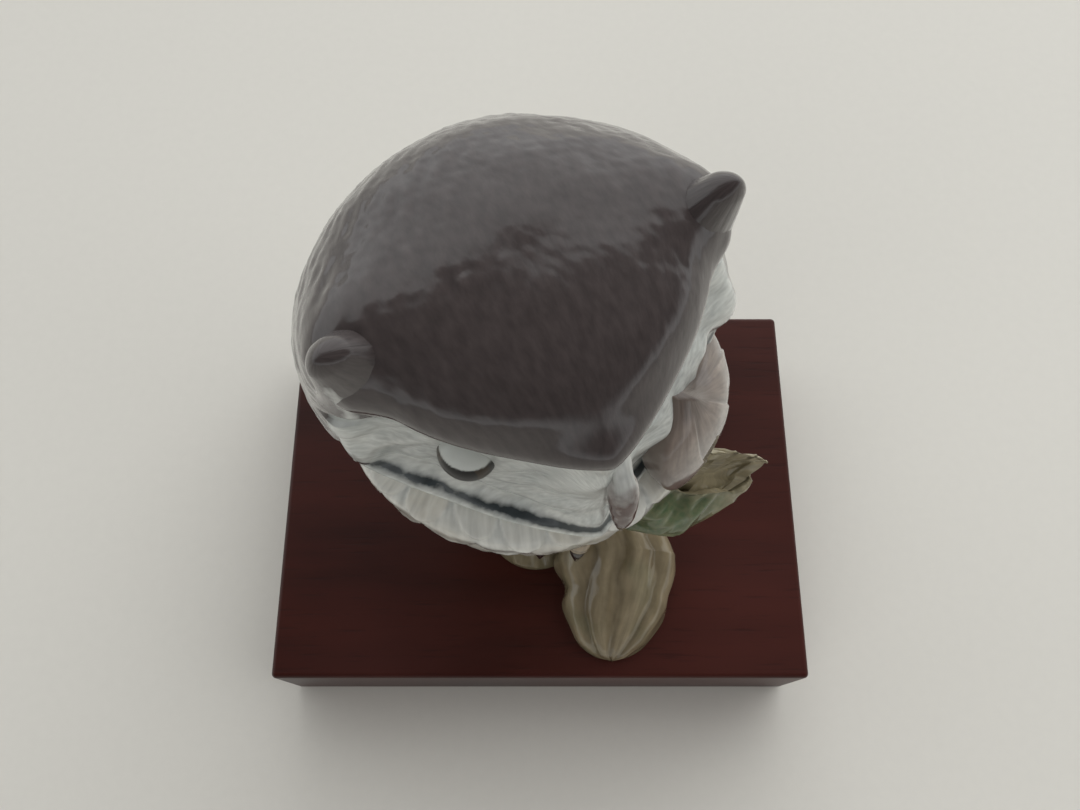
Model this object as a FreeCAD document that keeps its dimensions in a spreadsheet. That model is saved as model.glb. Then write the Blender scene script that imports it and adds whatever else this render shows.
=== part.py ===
import FreeCAD, Part
import os

import Sketcher

# A horned owl of glazed porcelain, perched on a tree stump, that stands loose on a wooden plinth.
#
# The owl faces -Y, +Z is up, and the origin is the middle of the plinth's underside. The porcelain
# is a set of slip castings, each a node of its own: they were joined with liquid clay before firing,
# so each one is cut back to the surface of the casting that it is joined to.

# Driving dimensions, in millimetres and degrees: alias, value, what it is. Heights are above the
# plinth's top, unless the note says otherwise.
DIMENSIONS = (
    ("board_wide", 90.0, "plinth, left to right"),
    ("board_deep", 66.5, "plinth, front to back"),
    ("board_thick", 19.2, "wood alone, without the felt"),
    ("board_edge", 0.8, "rounding of the plinth's top and upright edges"),
    ("felt_thick", 1.0, "baize under the plinth"),
    ("felt_inset", 1.5, "bare wood all round the baize"),
    ("wall", 3.0, "wall of every hollow casting"),
    ("vent", 4.0, "radius of the air holes between the castings' hollows"),
    ("stump_right", 1.0, "stump's axis, from the plinth's middle"),
    ("stump_back", 4.5, "stump's axis, from the plinth's middle"),
    ("stump_foot", 18.0, "radius of the stump at the plinth"),
    ("stump_flare", 9.0, "height over which the foot narrows to the waist"),
    ("stump_waist", 14.5, "radius above the flare"),
    ("stump_top", 15.5, "radius where the owl perches"),
    ("perch", 29.0, "height of the stump"),
    ("root_right", 12.6, "middle of the front root, from the stump's axis"),
    ("root_front", 17.5, "middle of the front root, in front of the stump's axis"),
    ("root_half_wide", 10.4, "front root, across"),
    ("root_half_long", 17.2, "front root, along"),
    ("root_high", 9.0, "front root, at its middle"),
    ("root_turn", 4.0, "front root, turned about the upright"),
    ("branch_root_x", 3.5, "branch's root, inside the stump, from the stump's axis"),
    ("branch_root_front", 6.5, "branch's root, in front of the stump's axis"),
    ("branch_root_rise", -11.5, "branch's axis at its root, above the perch"),
    ("branch_root_radius", 7.0, "branch at its root"),
    ("branch_bulge_x", 21.5, "thick end of the branch, from the stump's axis"),
    ("branch_bulge_front", 13.5, "thick end of the branch, in front of the stump's axis"),
    ("branch_bulge_rise", 1.5, "branch's axis at its thick end, above the perch"),
    ("branch_bulge_radius", 7.0, "branch at its thick end"),
    ("branch_tip_x", 30.0, "point of the broken end, from the stump's axis"),
    ("branch_tip_front", 12.7, "point of the broken end, in front of the stump's axis"),
    ("branch_tip_rise", 9.0, "point of the broken end, above the perch"),
    ("branch_tip_radius", 1.4, "the broken end's point"),
    ("body_right", -3.5, "body's axis, from the stump's axis"),
    ("body_front", 5.3, "body's axis, in front of the stump's axis"),
    ("body_turn", -15.0, "body, turned about the upright"),
    ("body_half_wide", 22.0, "torso without the wings"),
    ("body_half_deep", 22.4, "breast to back"),
    ("body_half_high", 32.0, "half the height of the whole torso form"),
    ("body_high", 25.0, "torso's widest point, above the perch"),
    ("wing_half_thick", 7.0, "wing form, across"),
    ("wing_half_wide", 16.5, "wing form, breast to back"),
    ("wing_half_long", 27.0, "wing form, shoulder to tip"),
    ("wing_proud", 2.6, "how far a wing stands out from the torso"),
    ("wing_back", 3.0, "wing's middle, behind the body's axis"),
    ("wing_drop", 5.0, "wing's middle, below the torso's widest point"),
    ("wing_sweep", 20.0, "how far the wing's tip leans back"),
    ("tail_half_wide", 9.0, "tail, across"),
    ("tail_half_thick", 3.6, "tail, through"),
    ("tail_half_long", 24.0, "tail form, root to tip"),
    ("tail_sunk", 2.4, "tail's middle, in from the back of the torso"),
    ("tail_drop", 22.0, "tail's middle, below the torso's widest point"),
    ("tail_sweep", 14.0, "how far the tail's tip leans back"),
    ("foot_spread", 6.8, "middle of each foot, from the body's axis"),
    ("toe_gap", 0.3, "between two toes of one foot"),
    ("toe_half_thick", 2.0, "toe, across"),
    ("toe_half_long", 6.0, "toe, along"),
    ("toe_front", 11.5, "toe's middle, in front of the body's axis"),
    ("toe_droop", 32.0, "how steeply the toes run down over the stump's edge"),
    ("head_right", 0.3, "skull's middle, from the body's axis"),
    ("head_front", 2.4, "skull's middle, in front of the body's axis"),
    ("head_sunk", 13.0, "skull's middle, below the top of the torso form"),
    ("head_turn", 25.6, "head, turned about the upright"),
    ("skull_half_wide", 23.4, "skull, across"),
    ("skull_half_deep", 21.6, "skull, face to nape"),
    ("skull_half_high", 20.0, "skull, upright"),
    ("disc_radius", 13.0, "ball that hollows each half of the face"),
    ("disc_spread", 9.5, "middle of each half of the face"),
    ("disc_sink", 1.6, "depth of each half of the face"),
    ("tuft_root_radius", 6.0, "ear tuft at its root"),
    ("tuft_root_in", 7.4, "ear tuft's root, in from the side of the skull"),
    ("tuft_root_drop", 13.0, "ear tuft's root, below the crown"),
    ("tuft_tip_radius", 1.6, "ear tuft at its tip"),
    ("tuft_tip_in", 3.2, "ear tuft's tip, in from the side of the skull"),
    ("tuft_tip_rise", 0.5, "ear tuft's tip, above the crown"),
    ("tuft_front", 4.2, "ear tufts, in front of the skull's middle"),
    ("beak_radius", 3.2, "beak at its thickest"),
    ("beak_high", 6.0, "beak's root, above the skull's middle"),
    ("beak_drop", 5.8, "beak's tip, below the skull's middle"),
    ("beak_out", 2.6, "beak's tip, in front of the skull"),
    ("beak_tip_radius", 0.7, "beak's tip"),
)

doc = FreeCAD.newDocument("owl_figurine")
sheet = doc.addObject("Spreadsheet::Sheet", "Sizes")
for row, (alias, value, note) in enumerate(DIMENSIONS, start=1):
    sheet.set(f"A{row}", alias)
    sheet.set(f"B{row}", str(value))
    sheet.set(f"C{row}", note)
    sheet.setAlias(f"B{row}", alias)
doc.recompute()

UPRIGHT = "vector(0; 0; 1)"
CROSSWISE = "vector(1; 0; 0)"
SIDEWAYS = "vector(0; 1; 0)"
# Named heights and frames, as expressions that read the sheet.
PLINTH_TOP = "(Sizes.felt_thick + Sizes.board_thick)"
PERCH_TOP = f"({PLINTH_TOP} + Sizes.perch)"


def placed(x, y, z, axis=UPRIGHT, angle="0"):
    """A placement expression: a turn about an axis, then a move."""
    return f"placement(vector({x}; {y}; {z}); rotation({axis}; {angle}))"


# The torso's axis and widest point, and the skull's middle.
BODY_X = "(Sizes.stump_right + Sizes.body_right)"
BODY_Y = "(Sizes.stump_back - Sizes.body_front)"
BODY_Z = f"({PERCH_TOP} + Sizes.body_high)"
HEAD_X = f"({BODY_X} + Sizes.head_right)"
HEAD_Y = f"({BODY_Y} - Sizes.head_front)"
HEAD_Z = f"({BODY_Z} + Sizes.body_half_high - Sizes.head_sunk)"
BODY = placed(BODY_X, BODY_Y, BODY_Z, UPRIGHT, "Sizes.body_turn")
HEAD = placed(HEAD_X, HEAD_Y, HEAD_Z, UPRIGHT, "Sizes.head_turn")


def bind(item, **expressions):
    """Bind an object's properties to expressions on the sheet."""
    for name, expression in expressions.items():
        item.setExpression(name, expression)
    return item


def ellipsoid(name, half_high, half_wide, half_deep, placement, **more):
    """An ellipsoid with its three half sizes along Z, X and Y."""
    item = doc.addObject("Part::Ellipsoid", name)
    sizes = {"Radius1": half_high, "Radius2": half_wide, "Radius3": half_deep}
    return bind(item, Placement=placement, **sizes, **more)


def ring_loft(name, rings):
    """A smooth solid through round rings, each a (radius, placement) pair."""
    sections = []
    for number, (radius, placement) in enumerate(rings, start=1):
        ring = doc.addObject("Part::Circle", f"{name}_ring_{number}")
        sections.append(bind(ring, Radius=radius, Placement=placement))
    item = doc.addObject("Part::Loft", name)
    item.Sections = sections
    item.Solid = True
    return item


def upright_hole(name, radius, x, y, low, high):
    """A cylinder between two heights, to be cut out."""
    item = doc.addObject("Part::Cylinder", name)
    height = f"({high}) - ({low})"
    return bind(item, Radius=radius, Height=height, Placement=placed(x, y, low))


def cut(name, solid, tools):
    """A solid with every tool cut out of it, one after another."""
    for number, tool in enumerate(tools, start=1):
        item = doc.addObject("Part::Cut", f"{name}_cut_{number}")
        item.Base = solid
        item.Tool = tool
        solid = item
    return solid


def centred_block(name, wide, deep, low, thick):
    """A PartDesign body: a rectangle centred on the origin, padded upwards from a height."""
    body = doc.addObject("PartDesign::Body", name)
    plane = next(item for item in body.Origin.OriginFeatures if item.Role == "XY_Plane")
    sketch = body.newObject("Sketcher::SketchObject", f"{name}_outline")
    sketch.AttachmentSupport = [(plane, "")]
    sketch.MapMode = "FlatFace"
    corners = [FreeCAD.Vector(x, y, 0) for x, y in ((-30, -20), (30, -20), (30, 20), (-30, 20))]
    for start, end in zip(corners, corners[1:] + corners[:1]):
        sketch.addGeometry(Part.LineSegment(start, end), False)
    for side in range(4):
        sketch.addConstraint(Sketcher.Constraint("Coincident", side, 2, (side + 1) % 4, 1))
        sketch.addConstraint(Sketcher.Constraint(("Horizontal", "Vertical")[side % 2], side))
    sketch.addConstraint(Sketcher.Constraint("Symmetric", 0, 1, 1, 2, -1, 1))
    across = sketch.addConstraint(Sketcher.Constraint("DistanceX", 0, 1, 0, 2, 60))
    along = sketch.addConstraint(Sketcher.Constraint("DistanceY", 1, 1, 1, 2, 40))
    bind(sketch, **{f"Constraints[{across}]": wide, f"Constraints[{along}]": deep})
    pad = body.newObject("PartDesign::Pad", f"{name}_pad")
    pad.Profile = sketch
    bind(pad, Length=thick)
    bind(body, Placement=placed("0", "0", low))
    return body


def make_board():
    """The plinth's wood, with its top and upright edges just rounded over."""
    board = centred_block(
        "plinth_board",
        "Sizes.board_wide",
        "Sizes.board_deep",
        "Sizes.felt_thick",
        "Sizes.board_thick",
    )
    doc.recompute()
    pad = board.Tip
    lowest = pad.Shape.BoundBox.ZMin
    rounded = []
    for number, edge in enumerate(pad.Shape.Edges, start=1):
        if edge.BoundBox.ZMax > lowest + 1:
            rounded.append(f"Edge{number}")
    fillet = board.newObject("PartDesign::Fillet", "plinth_board_edges")
    fillet.Base = (pad, rounded)
    bind(fillet, Radius="Sizes.board_edge")
    return board


def make_felt():
    """The sheet of baize glued under the wood."""
    return centred_block(
        "plinth_felt",
        "Sizes.board_wide - 2 * Sizes.felt_inset",
        "Sizes.board_deep - 2 * Sizes.felt_inset",
        "0",
        "Sizes.felt_thick",
    )


def cone(name, low_radius, high_radius, low, high):
    """A frustum on the stump's axis between two heights."""
    item = doc.addObject("Part::Cone", name)
    return bind(
        item,
        Radius1=low_radius,
        Radius2=high_radius,
        Height=f"({high}) - ({low})",
        Placement=placed("Sizes.stump_right", "Sizes.stump_back", low),
    )


def stump_solid(name, inset, low, high):
    """The stump's form: a flared foot and a trunk above it, both narrower by the inset."""
    knee = f"{PLINTH_TOP} + Sizes.stump_flare"
    form = doc.addObject("Part::Fuse", name)
    waist = f"Sizes.stump_waist - {inset}"
    form.Base = cone(f"{name}_foot", f"Sizes.stump_foot - {inset}", waist, low, knee)
    form.Tool = cone(f"{name}_trunk", waist, f"Sizes.stump_top - {inset}", knee, high)
    return form


def make_stump(stump_form):
    """The stump, hollow, with an air hole down to the plinth and one up to the torso."""
    floor = f"{PLINTH_TOP} + Sizes.wall"
    ceiling = f"{PERCH_TOP} - Sizes.wall"
    hollow = stump_solid("stump_hollow", "Sizes.wall", floor, ceiling)
    vent = upright_hole(
        "stump_vent",
        "Sizes.vent",
        "Sizes.stump_right",
        "Sizes.stump_back",
        PLINTH_TOP,
        PERCH_TOP,
    )
    return cut("stump_casting", stump_form, [hollow, vent])


def make_root(stump_form):
    """The broad root in front of the stump: the upper half of a ball, stretched."""
    x = "Sizes.stump_right + Sizes.root_right"
    y = "Sizes.stump_back - Sizes.root_front"
    placement = placed(x, y, PLINTH_TOP, UPRIGHT, "Sizes.root_turn")
    form = ellipsoid(
        "root_form",
        "Sizes.root_high",
        "Sizes.root_half_wide",
        "Sizes.root_half_long",
        placement,
        Angle1="0 deg",
    )
    return cut("front_root", form, [stump_form])


def make_branch(stump_form, forms):
    """The broken side branch, from the stump's right flank up to its point."""
    rings = []
    for part in ("root", "bulge", "tip"):
        x = f"Sizes.stump_right + Sizes.branch_{part}_x"
        y = f"Sizes.stump_back - Sizes.branch_{part}_front"
        high = f"{PERCH_TOP} + Sizes.branch_{part}_rise"
        placement = placed(x, y, high, SIDEWAYS, "90")
        rings.append((f"Sizes.branch_{part}_radius", placement))
    return cut("side_branch", ring_loft("branch_form", rings), [stump_form, *forms])


def torso_solid(name, inset):
    """The torso's egg, smaller by the inset, cut off level where it sits on the stump."""
    half_high = f"(Sizes.body_half_high - {inset})"
    level = f"({inset} - Sizes.body_high)"
    return ellipsoid(
        name,
        half_high,
        f"Sizes.body_half_wide - {inset}",
        f"Sizes.body_half_deep - {inset}",
        BODY,
        Angle1=f"asin({level} / {half_high})",
    )


def make_torso(torso_form, skull_form):
    """Breast and back, hollow, with a cup at the top that the skull sits in."""
    hollow = torso_solid("torso_hollow", "Sizes.wall")
    vent = upright_hole(
        "torso_vent",
        "Sizes.vent",
        "Sizes.stump_right",
        "Sizes.stump_back",
        PERCH_TOP,
        f"{PERCH_TOP} + 2 * Sizes.wall",
    )
    return cut("torso_casting", torso_form, [hollow, skull_form, vent])


def wing_form(side, sign):
    """A wing's whole form: a flat ellipsoid that stands out from the torso's flank."""
    across = "Sizes.body_half_wide + Sizes.wing_proud - Sizes.wing_half_thick"
    local = placed(
        f"{sign}({across})", "Sizes.wing_back", "-Sizes.wing_drop", CROSSWISE, "Sizes.wing_sweep"
    )
    return ellipsoid(
        f"{side}_wing_form",
        "Sizes.wing_half_long",
        "Sizes.wing_half_thick",
        "Sizes.wing_half_wide",
        f"{BODY} * {local}",
    )


def make_tail(forms):
    """The tail, from under the wings down behind the stump."""
    back = "Sizes.body_half_deep - Sizes.tail_sunk"
    local = placed("0", back, "-Sizes.tail_drop", CROSSWISE, "Sizes.tail_sweep")
    form = ellipsoid(
        "tail_form",
        "Sizes.tail_half_long",
        "Sizes.tail_half_wide",
        "Sizes.tail_half_thick",
        f"{BODY} * {local}",
    )
    return cut("tail", form, forms)


def make_foot(side, sign, forms):
    """Three toes side by side, over the front edge of the stump."""
    toes = []
    for number in (-1, 0, 1):
        local = placed(
            f"{sign}Sizes.foot_spread + {number} * (2 * Sizes.toe_half_thick + Sizes.toe_gap)",
            "-Sizes.toe_front",
            "-Sizes.body_high",
            CROSSWISE,
            "Sizes.toe_droop",
        )
        toe = ellipsoid(
            f"{side}_toe_{number + 2}",
            "Sizes.toe_half_thick",
            "Sizes.toe_half_thick",
            "Sizes.toe_half_long",
            f"{BODY} * {local}",
        )
        toes.append(toe)
    foot = doc.addObject("Part::MultiFuse", f"{side}_foot_form")
    foot.Shapes = toes
    return cut(f"{side}_foot", foot, forms)


def make_skull(skull_form):
    """The head's casting, hollow, with a shallow dish for each half of the face."""
    inner = [f"Sizes.skull_half_{way} - Sizes.wall - Sizes.disc_sink" for way in ("high", "wide", "deep")]
    tools = [ellipsoid("skull_hollow", *inner, HEAD)]
    for side, sign in (("left", ""), ("right", "-")):
        # The dish's ball touches the skull at a point in front of its middle, and sinks in from there.
        front = (
            "Sizes.skull_half_deep * sqrt(1 - (Sizes.disc_spread / Sizes.skull_half_wide)^2)"
            " + Sizes.disc_radius - Sizes.disc_sink"
        )
        local = placed(f"{sign}Sizes.disc_spread", f"-({front})", "0")
        radius = ["Sizes.disc_radius"] * 3
        tools.append(ellipsoid(f"{side}_dish", *radius, f"{HEAD} * {local}"))
    low = f"{HEAD_Z} - Sizes.skull_half_high"
    tools.append(upright_hole("skull_vent", "Sizes.vent", HEAD_X, HEAD_Y, low, HEAD_Z))
    return cut("head_casting", skull_form, tools)


def make_tuft(side, sign, skull_form):
    """An ear tuft: a horn from the skull up and outwards."""
    root_side = "(Sizes.skull_half_wide - Sizes.tuft_root_in)"
    root_high = "(Sizes.skull_half_high - Sizes.tuft_root_drop)"
    tip_side = "(Sizes.skull_half_wide - Sizes.tuft_tip_in)"
    tip_high = "(Sizes.skull_half_high + Sizes.tuft_tip_rise)"
    middle_radius = "0.55 * Sizes.tuft_root_radius + 0.45 * Sizes.tuft_tip_radius"
    rings = []
    for radius, across, high in (
        ("Sizes.tuft_root_radius", root_side, root_high),
        (middle_radius, f"({root_side} + {tip_side}) / 2", f"({root_high} + {tip_high}) / 2"),
        ("Sizes.tuft_tip_radius", tip_side, tip_high),
    ):
        local = placed(f"{sign}({across})", "-Sizes.tuft_front", high)
        rings.append((radius, f"{HEAD} * {local}"))
    return cut(f"{side}_ear_tuft", ring_loft(f"{side}_tuft_form", rings), [skull_form])


def make_beak(skull_form):
    """The beak, hooked down and forwards from between the halves of the face."""
    rings = []
    front = "Sizes.skull_half_deep + Sizes.beak_out"
    for radius, out, high in (
        ("Sizes.beak_radius * 0.7", "Sizes.skull_half_deep - Sizes.beak_radius", "Sizes.beak_high"),
        ("Sizes.beak_radius", f"{front} - Sizes.beak_radius", "0"),
        ("Sizes.beak_tip_radius", f"{front} - Sizes.beak_tip_radius", "-Sizes.beak_drop"),
    ):
        rings.append((radius, f"{HEAD} * {placed('0', f'-({out})', high)}"))
    return cut("beak", ring_loft("beak_form", rings), [skull_form])


def make_parts():
    """Every sub-part, by the name of its node."""
    stump_form = stump_solid("stump_form", "0", PLINTH_TOP, PERCH_TOP)
    torso_form = torso_solid("torso_form", "0")
    skull_form = ellipsoid(
        "skull_form",
        "Sizes.skull_half_high",
        "Sizes.skull_half_wide",
        "Sizes.skull_half_deep",
        HEAD,
    )
    wing_forms = {"left": wing_form("left", ""), "right": wing_form("right", "-")}
    parts = {
        "plinth_board": make_board(),
        "plinth_felt": make_felt(),
        "stump_casting": make_stump(stump_form),
        "front_root": make_root(stump_form),
        "side_branch": make_branch(stump_form, [torso_form, wing_forms["left"]]),
        "torso_casting": make_torso(torso_form, skull_form),
        "head_casting": make_skull(skull_form),
        "beak": make_beak(skull_form),
    }
    for side, sign in (("left", ""), ("right", "-")):
        parts[f"{side}_wing"] = cut(
            f"{side}_wing", wing_forms[side], [torso_form, skull_form, stump_form]
        )
        parts[f"{side}_ear_tuft"] = make_tuft(side, sign, skull_form)
        parts[f"{side}_foot"] = make_foot(side, sign, [stump_form, torso_form])
    parts["tail"] = make_tail([torso_form, stump_form, *wing_forms.values()])
    return parts


def check_parts(parts):
    """Stop unless every object is up to date and every sub-part is a valid solid."""
    for item in doc.Objects:
        for word in ("Invalid", "Error"):
            if word in item.State:
                raise RuntimeError(f"{item.Name} is {word}")
    for node, item in parts.items():
        shape = item.Shape
        if shape.isNull() or not shape.isValid() or not shape.Solids:
            raise RuntimeError(f"{node} has no valid solid")
        box = shape.BoundBox
        print(
            f"{node}: {len(shape.Solids)} solid, {shape.Volume:.0f} mm3,"
            f" x {box.XMin:.1f} to {box.XMax:.1f}, y {box.YMin:.1f} to {box.YMax:.1f},"
            f" z {box.ZMin:.1f} to {box.ZMax:.1f}"
        )


parts = make_parts()
for node, item in parts.items():
    item.Label = node
doc.recompute()
check_parts(parts)
os.makedirs("parts", exist_ok=True)
for node, item in parts.items():
    item.Shape.exportStep(f"parts/{node}.step")
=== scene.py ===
"""Looks of a glazed porcelain horned owl on a bark stump and a lacquered wooden plinth.

Every porcelain piece is a closed surface of two parameters, worked out in millimetres as whole
arrays and placed from the CAD frame's boxes. The owl's own axes are X to its left, Y to its back
and Z up. The plinth's wood and baize keep their CAD meshes and get materials.
"""

import bpy
import numpy as np
from bpy.props import FloatProperty, FloatVectorProperty, PointerProperty
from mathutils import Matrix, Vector


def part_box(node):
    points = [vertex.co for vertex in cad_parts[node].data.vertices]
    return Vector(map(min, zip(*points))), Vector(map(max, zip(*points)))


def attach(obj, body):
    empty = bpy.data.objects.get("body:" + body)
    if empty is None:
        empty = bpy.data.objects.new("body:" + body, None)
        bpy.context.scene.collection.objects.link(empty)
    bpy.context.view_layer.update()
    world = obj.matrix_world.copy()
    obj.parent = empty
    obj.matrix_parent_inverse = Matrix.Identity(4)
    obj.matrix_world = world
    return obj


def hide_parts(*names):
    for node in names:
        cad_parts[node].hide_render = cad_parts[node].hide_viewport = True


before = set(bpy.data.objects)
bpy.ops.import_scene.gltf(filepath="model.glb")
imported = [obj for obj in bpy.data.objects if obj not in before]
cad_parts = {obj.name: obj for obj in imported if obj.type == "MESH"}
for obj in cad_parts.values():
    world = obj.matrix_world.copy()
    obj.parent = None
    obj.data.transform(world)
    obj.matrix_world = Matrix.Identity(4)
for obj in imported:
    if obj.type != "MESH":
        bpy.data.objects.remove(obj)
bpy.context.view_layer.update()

bl_info = {
    "name": "Porcelain Owl",
    "version": (1, 0, 0),
    "blender": (4, 5, 0),
    "location": "3D View > Sidebar > Owl",
    "description": "Builds the looks of a porcelain owl figurine round its CAD frame",
    "category": "Add Mesh",
}

MM = 0.001
# The body that every fired piece rides on.
PORCELAIN = "porcelain"


# ---------------------------------------------------------------------------------------------
# Places, read from the frame
# ---------------------------------------------------------------------------------------------


def cad_box(node):
    """A CAD node's lowest and highest corners at rest, in millimetres."""
    low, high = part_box(node)
    return np.array(low) / MM, np.array(high) / MM


# The head and the body are turned about the upright. The skull reaches this far from its middle to
# the side, to the back and to the crown.
HEAD_TURN = np.radians(25.6)
BODY_TURN = np.radians(-15.0)
SKULL = np.array([23.4, 21.6, 20.0])

# The plinth's top, and the upright axes of the stump and of the torso.
DECK = cad_box("plinth_board")[1][2]
STUMP_AXIS = (cad_box("stump_casting")[0] + cad_box("stump_casting")[1]) / 2
TORSO_AXIS = (cad_box("torso_casting")[0] + cad_box("torso_casting")[1]) / 2
# The skull's middle is measured from its highest, rearmost and outermost points, because the
# dishes of the face shorten its front.
SKULL_REACH = np.hypot(SKULL[0] * np.sin(HEAD_TURN), SKULL[1] * np.cos(HEAD_TURN))
HEAD_BOX = cad_box("head_casting")
HEAD_MIDDLE = np.array(
    [
        (HEAD_BOX[0][0] + HEAD_BOX[1][0]) / 2,
        HEAD_BOX[1][1] - SKULL_REACH,
        HEAD_BOX[1][2] - SKULL[2],
    ]
)


def turned(points, angle, origin):
    """Points turned about the upright by an angle and moved to an origin."""
    cosine, sine = np.cos(angle), np.sin(angle)
    x, y, z = points[..., 0], points[..., 1], points[..., 2]
    return xyz(x * cosine - y * sine, x * sine + y * cosine, z) + origin


def to_head(points):
    """From the head's own axes to the frame's."""
    return turned(points, HEAD_TURN, HEAD_MIDDLE)


def to_body(points):
    """From the body's own axes, with heights already above the table, to the frame's."""
    return turned(points, BODY_TURN, np.array([TORSO_AXIS[0], TORSO_AXIS[1], 0.0]))


# ---------------------------------------------------------------------------------------------
# Arrays and meshes
# ---------------------------------------------------------------------------------------------


def xyz(*parts):
    """Arrays side by side on a last axis, each repeated to the size of the largest."""
    return np.stack(np.broadcast_arrays(*parts), -1)


def smoothstep(low, high, value):
    """0 below low, 1 above high, and the cubic 3t^2 - 2t^3 between them."""
    t = np.clip((value - low) / (high - low), 0.0, 1.0)
    return t * t * (3 - 2 * t)


def bell(value, width):
    """exp(-(value / width)^2)."""
    return np.exp(-((value / width) ** 2))


def chance(*numbers):
    """A repeatable value from 0 to 1 for each whole-number address: the fraction of a large sine."""
    mixed = sum(n * k for n, k in zip(numbers, (12.9898, 78.233, 37.719)))
    return np.mod(np.sin(mixed) * 43758.5453, 1.0)


def rolling(points, wavelength, seed, octaves=3):
    """Smooth unevenness of about -1 to 1: each octave adds six plane sine waves in seeded
    directions, and is half as long and half as strong as the one before."""
    source = np.random.default_rng(seed)
    total = np.zeros(points.shape[:-1])
    strength = 1.0
    for _ in range(octaves):
        ways = source.normal(size=(6, 3))
        ways *= 2 * np.pi / wavelength / np.linalg.norm(ways, axis=1)[:, None]
        phases = source.uniform(0, 2 * np.pi, 6)
        total += strength * np.sin(points @ ways.T + phases).sum(-1) / 3.5
        strength *= 0.5
        wavelength *= 0.5
    return total / 1.5


def spread(steps, count):
    """count places from 0 to 1 whose density at each of the even steps is the given weight."""
    weights = np.asarray(steps, float)
    at = np.linspace(0, 1, len(weights))
    fine = np.linspace(0, 1, 2000)
    density = np.interp(fine, at, weights)
    filled = np.concatenate([[0], np.cumsum((density[1:] + density[:-1]) / 2)])
    return np.interp(np.linspace(0, filled[-1], count), filled, fine)


def curve(knots, share):
    """A smooth line through evenly spaced knots, at shares from 0 to 1: each stretch is the cubic
    whose slope at a knot is half the step between that knot's neighbours."""
    knots = np.asarray(knots, float)
    if knots.ndim == 1:
        knots = knots[:, None]
    padded = np.concatenate([[2 * knots[0] - knots[1]], knots, [2 * knots[-1] - knots[-2]]])
    place = np.clip(np.asarray(share, float), 0, 1) * (len(knots) - 1)
    first = np.minimum(place.astype(int), len(knots) - 2)
    t = (place - first)[..., None]
    a, b, c, d = (padded[first + k] for k in range(4))
    line = b + t * (c - a) / 2
    line = line + t * t * (a - 2.5 * b + 2 * c - d / 2)
    line = line + t**3 * (1.5 * (b - c) + (d - a) / 2)
    return line[..., 0] if knots.shape[1] == 1 else line


def feathers(down, across, columns, overlap=1.9, soft=0.3, seed=0.0):
    """Feathers laid like roof tiles, on coordinates counted in rows and columns.

    Row k starts at down = k and is overlap rows long, so two rows lie over each other, and every
    other row is shifted by half a column. With a = share of the feather's length and s = columns
    from its shaft, a feather's outline is (s / 0.55)^2 + ((a - 0.45) / 0.55)^2 = 1, the second
    term only past a = 0.45. Lower rows are laid first and upper rows blended over them inside
    their outline. Returns the height (a, bowed down towards the sides), how near the outline a
    point is, how near the shaft, and a chance value for each feather."""
    height = np.zeros(np.broadcast(down, across).shape)
    edge, shaft, tone = height.copy(), height.copy(), height.copy()
    for above in (-1, 0, 1):
        row = np.floor(down) - above
        sideways = across - 0.5 * np.mod(row, 2)
        column = np.round(sideways)
        side = sideways - column
        number = np.mod(column, columns)
        length = overlap * (1 + 0.10 * (chance(row, number, seed) - 0.5))
        along = (down - row) / length
        outline = (side / 0.55) ** 2 + (np.clip(along - 0.45, 0, None) / 0.55) ** 2
        inside = smoothstep(0.0, soft, 1 - outline) * (along > 0)
        rise = np.clip(along, 0, 1) * (1 - 0.35 * (side / 0.55) ** 2)
        height = height * (1 - inside) + rise * inside
        near = bell(1 - outline, 0.30)
        edge = edge * (1 - inside) + near * inside
        middle = bell(side, 0.07) * smoothstep(0.1, 0.3, along)
        shaft = shaft * (1 - inside) + middle * inside
        tone = tone * (1 - inside) + chance(row, number, seed + 3.0) * inside
    return height, edge, shaft, tone


def make_object(name, points, faces, body, slot, replaced=(), **paints):
    """An object from vertices in millimetres and faces as an array of corners, -1 for no fourth
    corner. paints are one value per vertex each, kept as attributes for the materials. The faces
    are turned over together if the volume that they enclose comes out negative."""
    corners = faces.copy()
    three = faces[:, 3] < 0
    fan = np.where(three[:, None], faces[:, [0, 1, 2, 0]], faces)
    a, b, c, d = (points[fan[:, k]] for k in range(4))
    inside_out = (np.cross(b - a, c - a) * a).sum() + (np.cross(c - a, d - a) * a).sum() < 0
    if inside_out:
        corners[three, :3] = corners[three, 2::-1]
        corners[~three] = corners[~three][:, ::-1]
    loops = corners[corners >= 0]
    sizes = np.where(three, 3, 4)
    starts = np.concatenate([[0], np.cumsum(sizes)[:-1]])
    mesh = bpy.data.meshes.new(name)
    mesh.vertices.add(len(points))
    mesh.vertices.foreach_set("co", (points * MM).astype(np.float32).ravel())
    mesh.loops.add(len(loops))
    mesh.loops.foreach_set("vertex_index", loops.astype(np.int32))
    mesh.polygons.add(len(faces))
    mesh.polygons.foreach_set("loop_start", starts.astype(np.int32))
    mesh.polygons.foreach_set("use_smooth", np.ones(len(faces), bool))
    mesh.update(calc_edges=True)
    for title, values in paints.items():
        layer = mesh.attributes.new(title, "FLOAT", "POINT")
        layer.data.foreach_set("value", np.asarray(values, np.float32).ravel())
    if mesh.validate():
        raise RuntimeError(f"{name} had faces that had to be repaired")
    piece = bpy.data.objects.new(name, mesh)
    bpy.context.scene.collection.objects.link(piece)
    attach(piece, body)
    if replaced:
        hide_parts(*replaced)
    return piece


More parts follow.
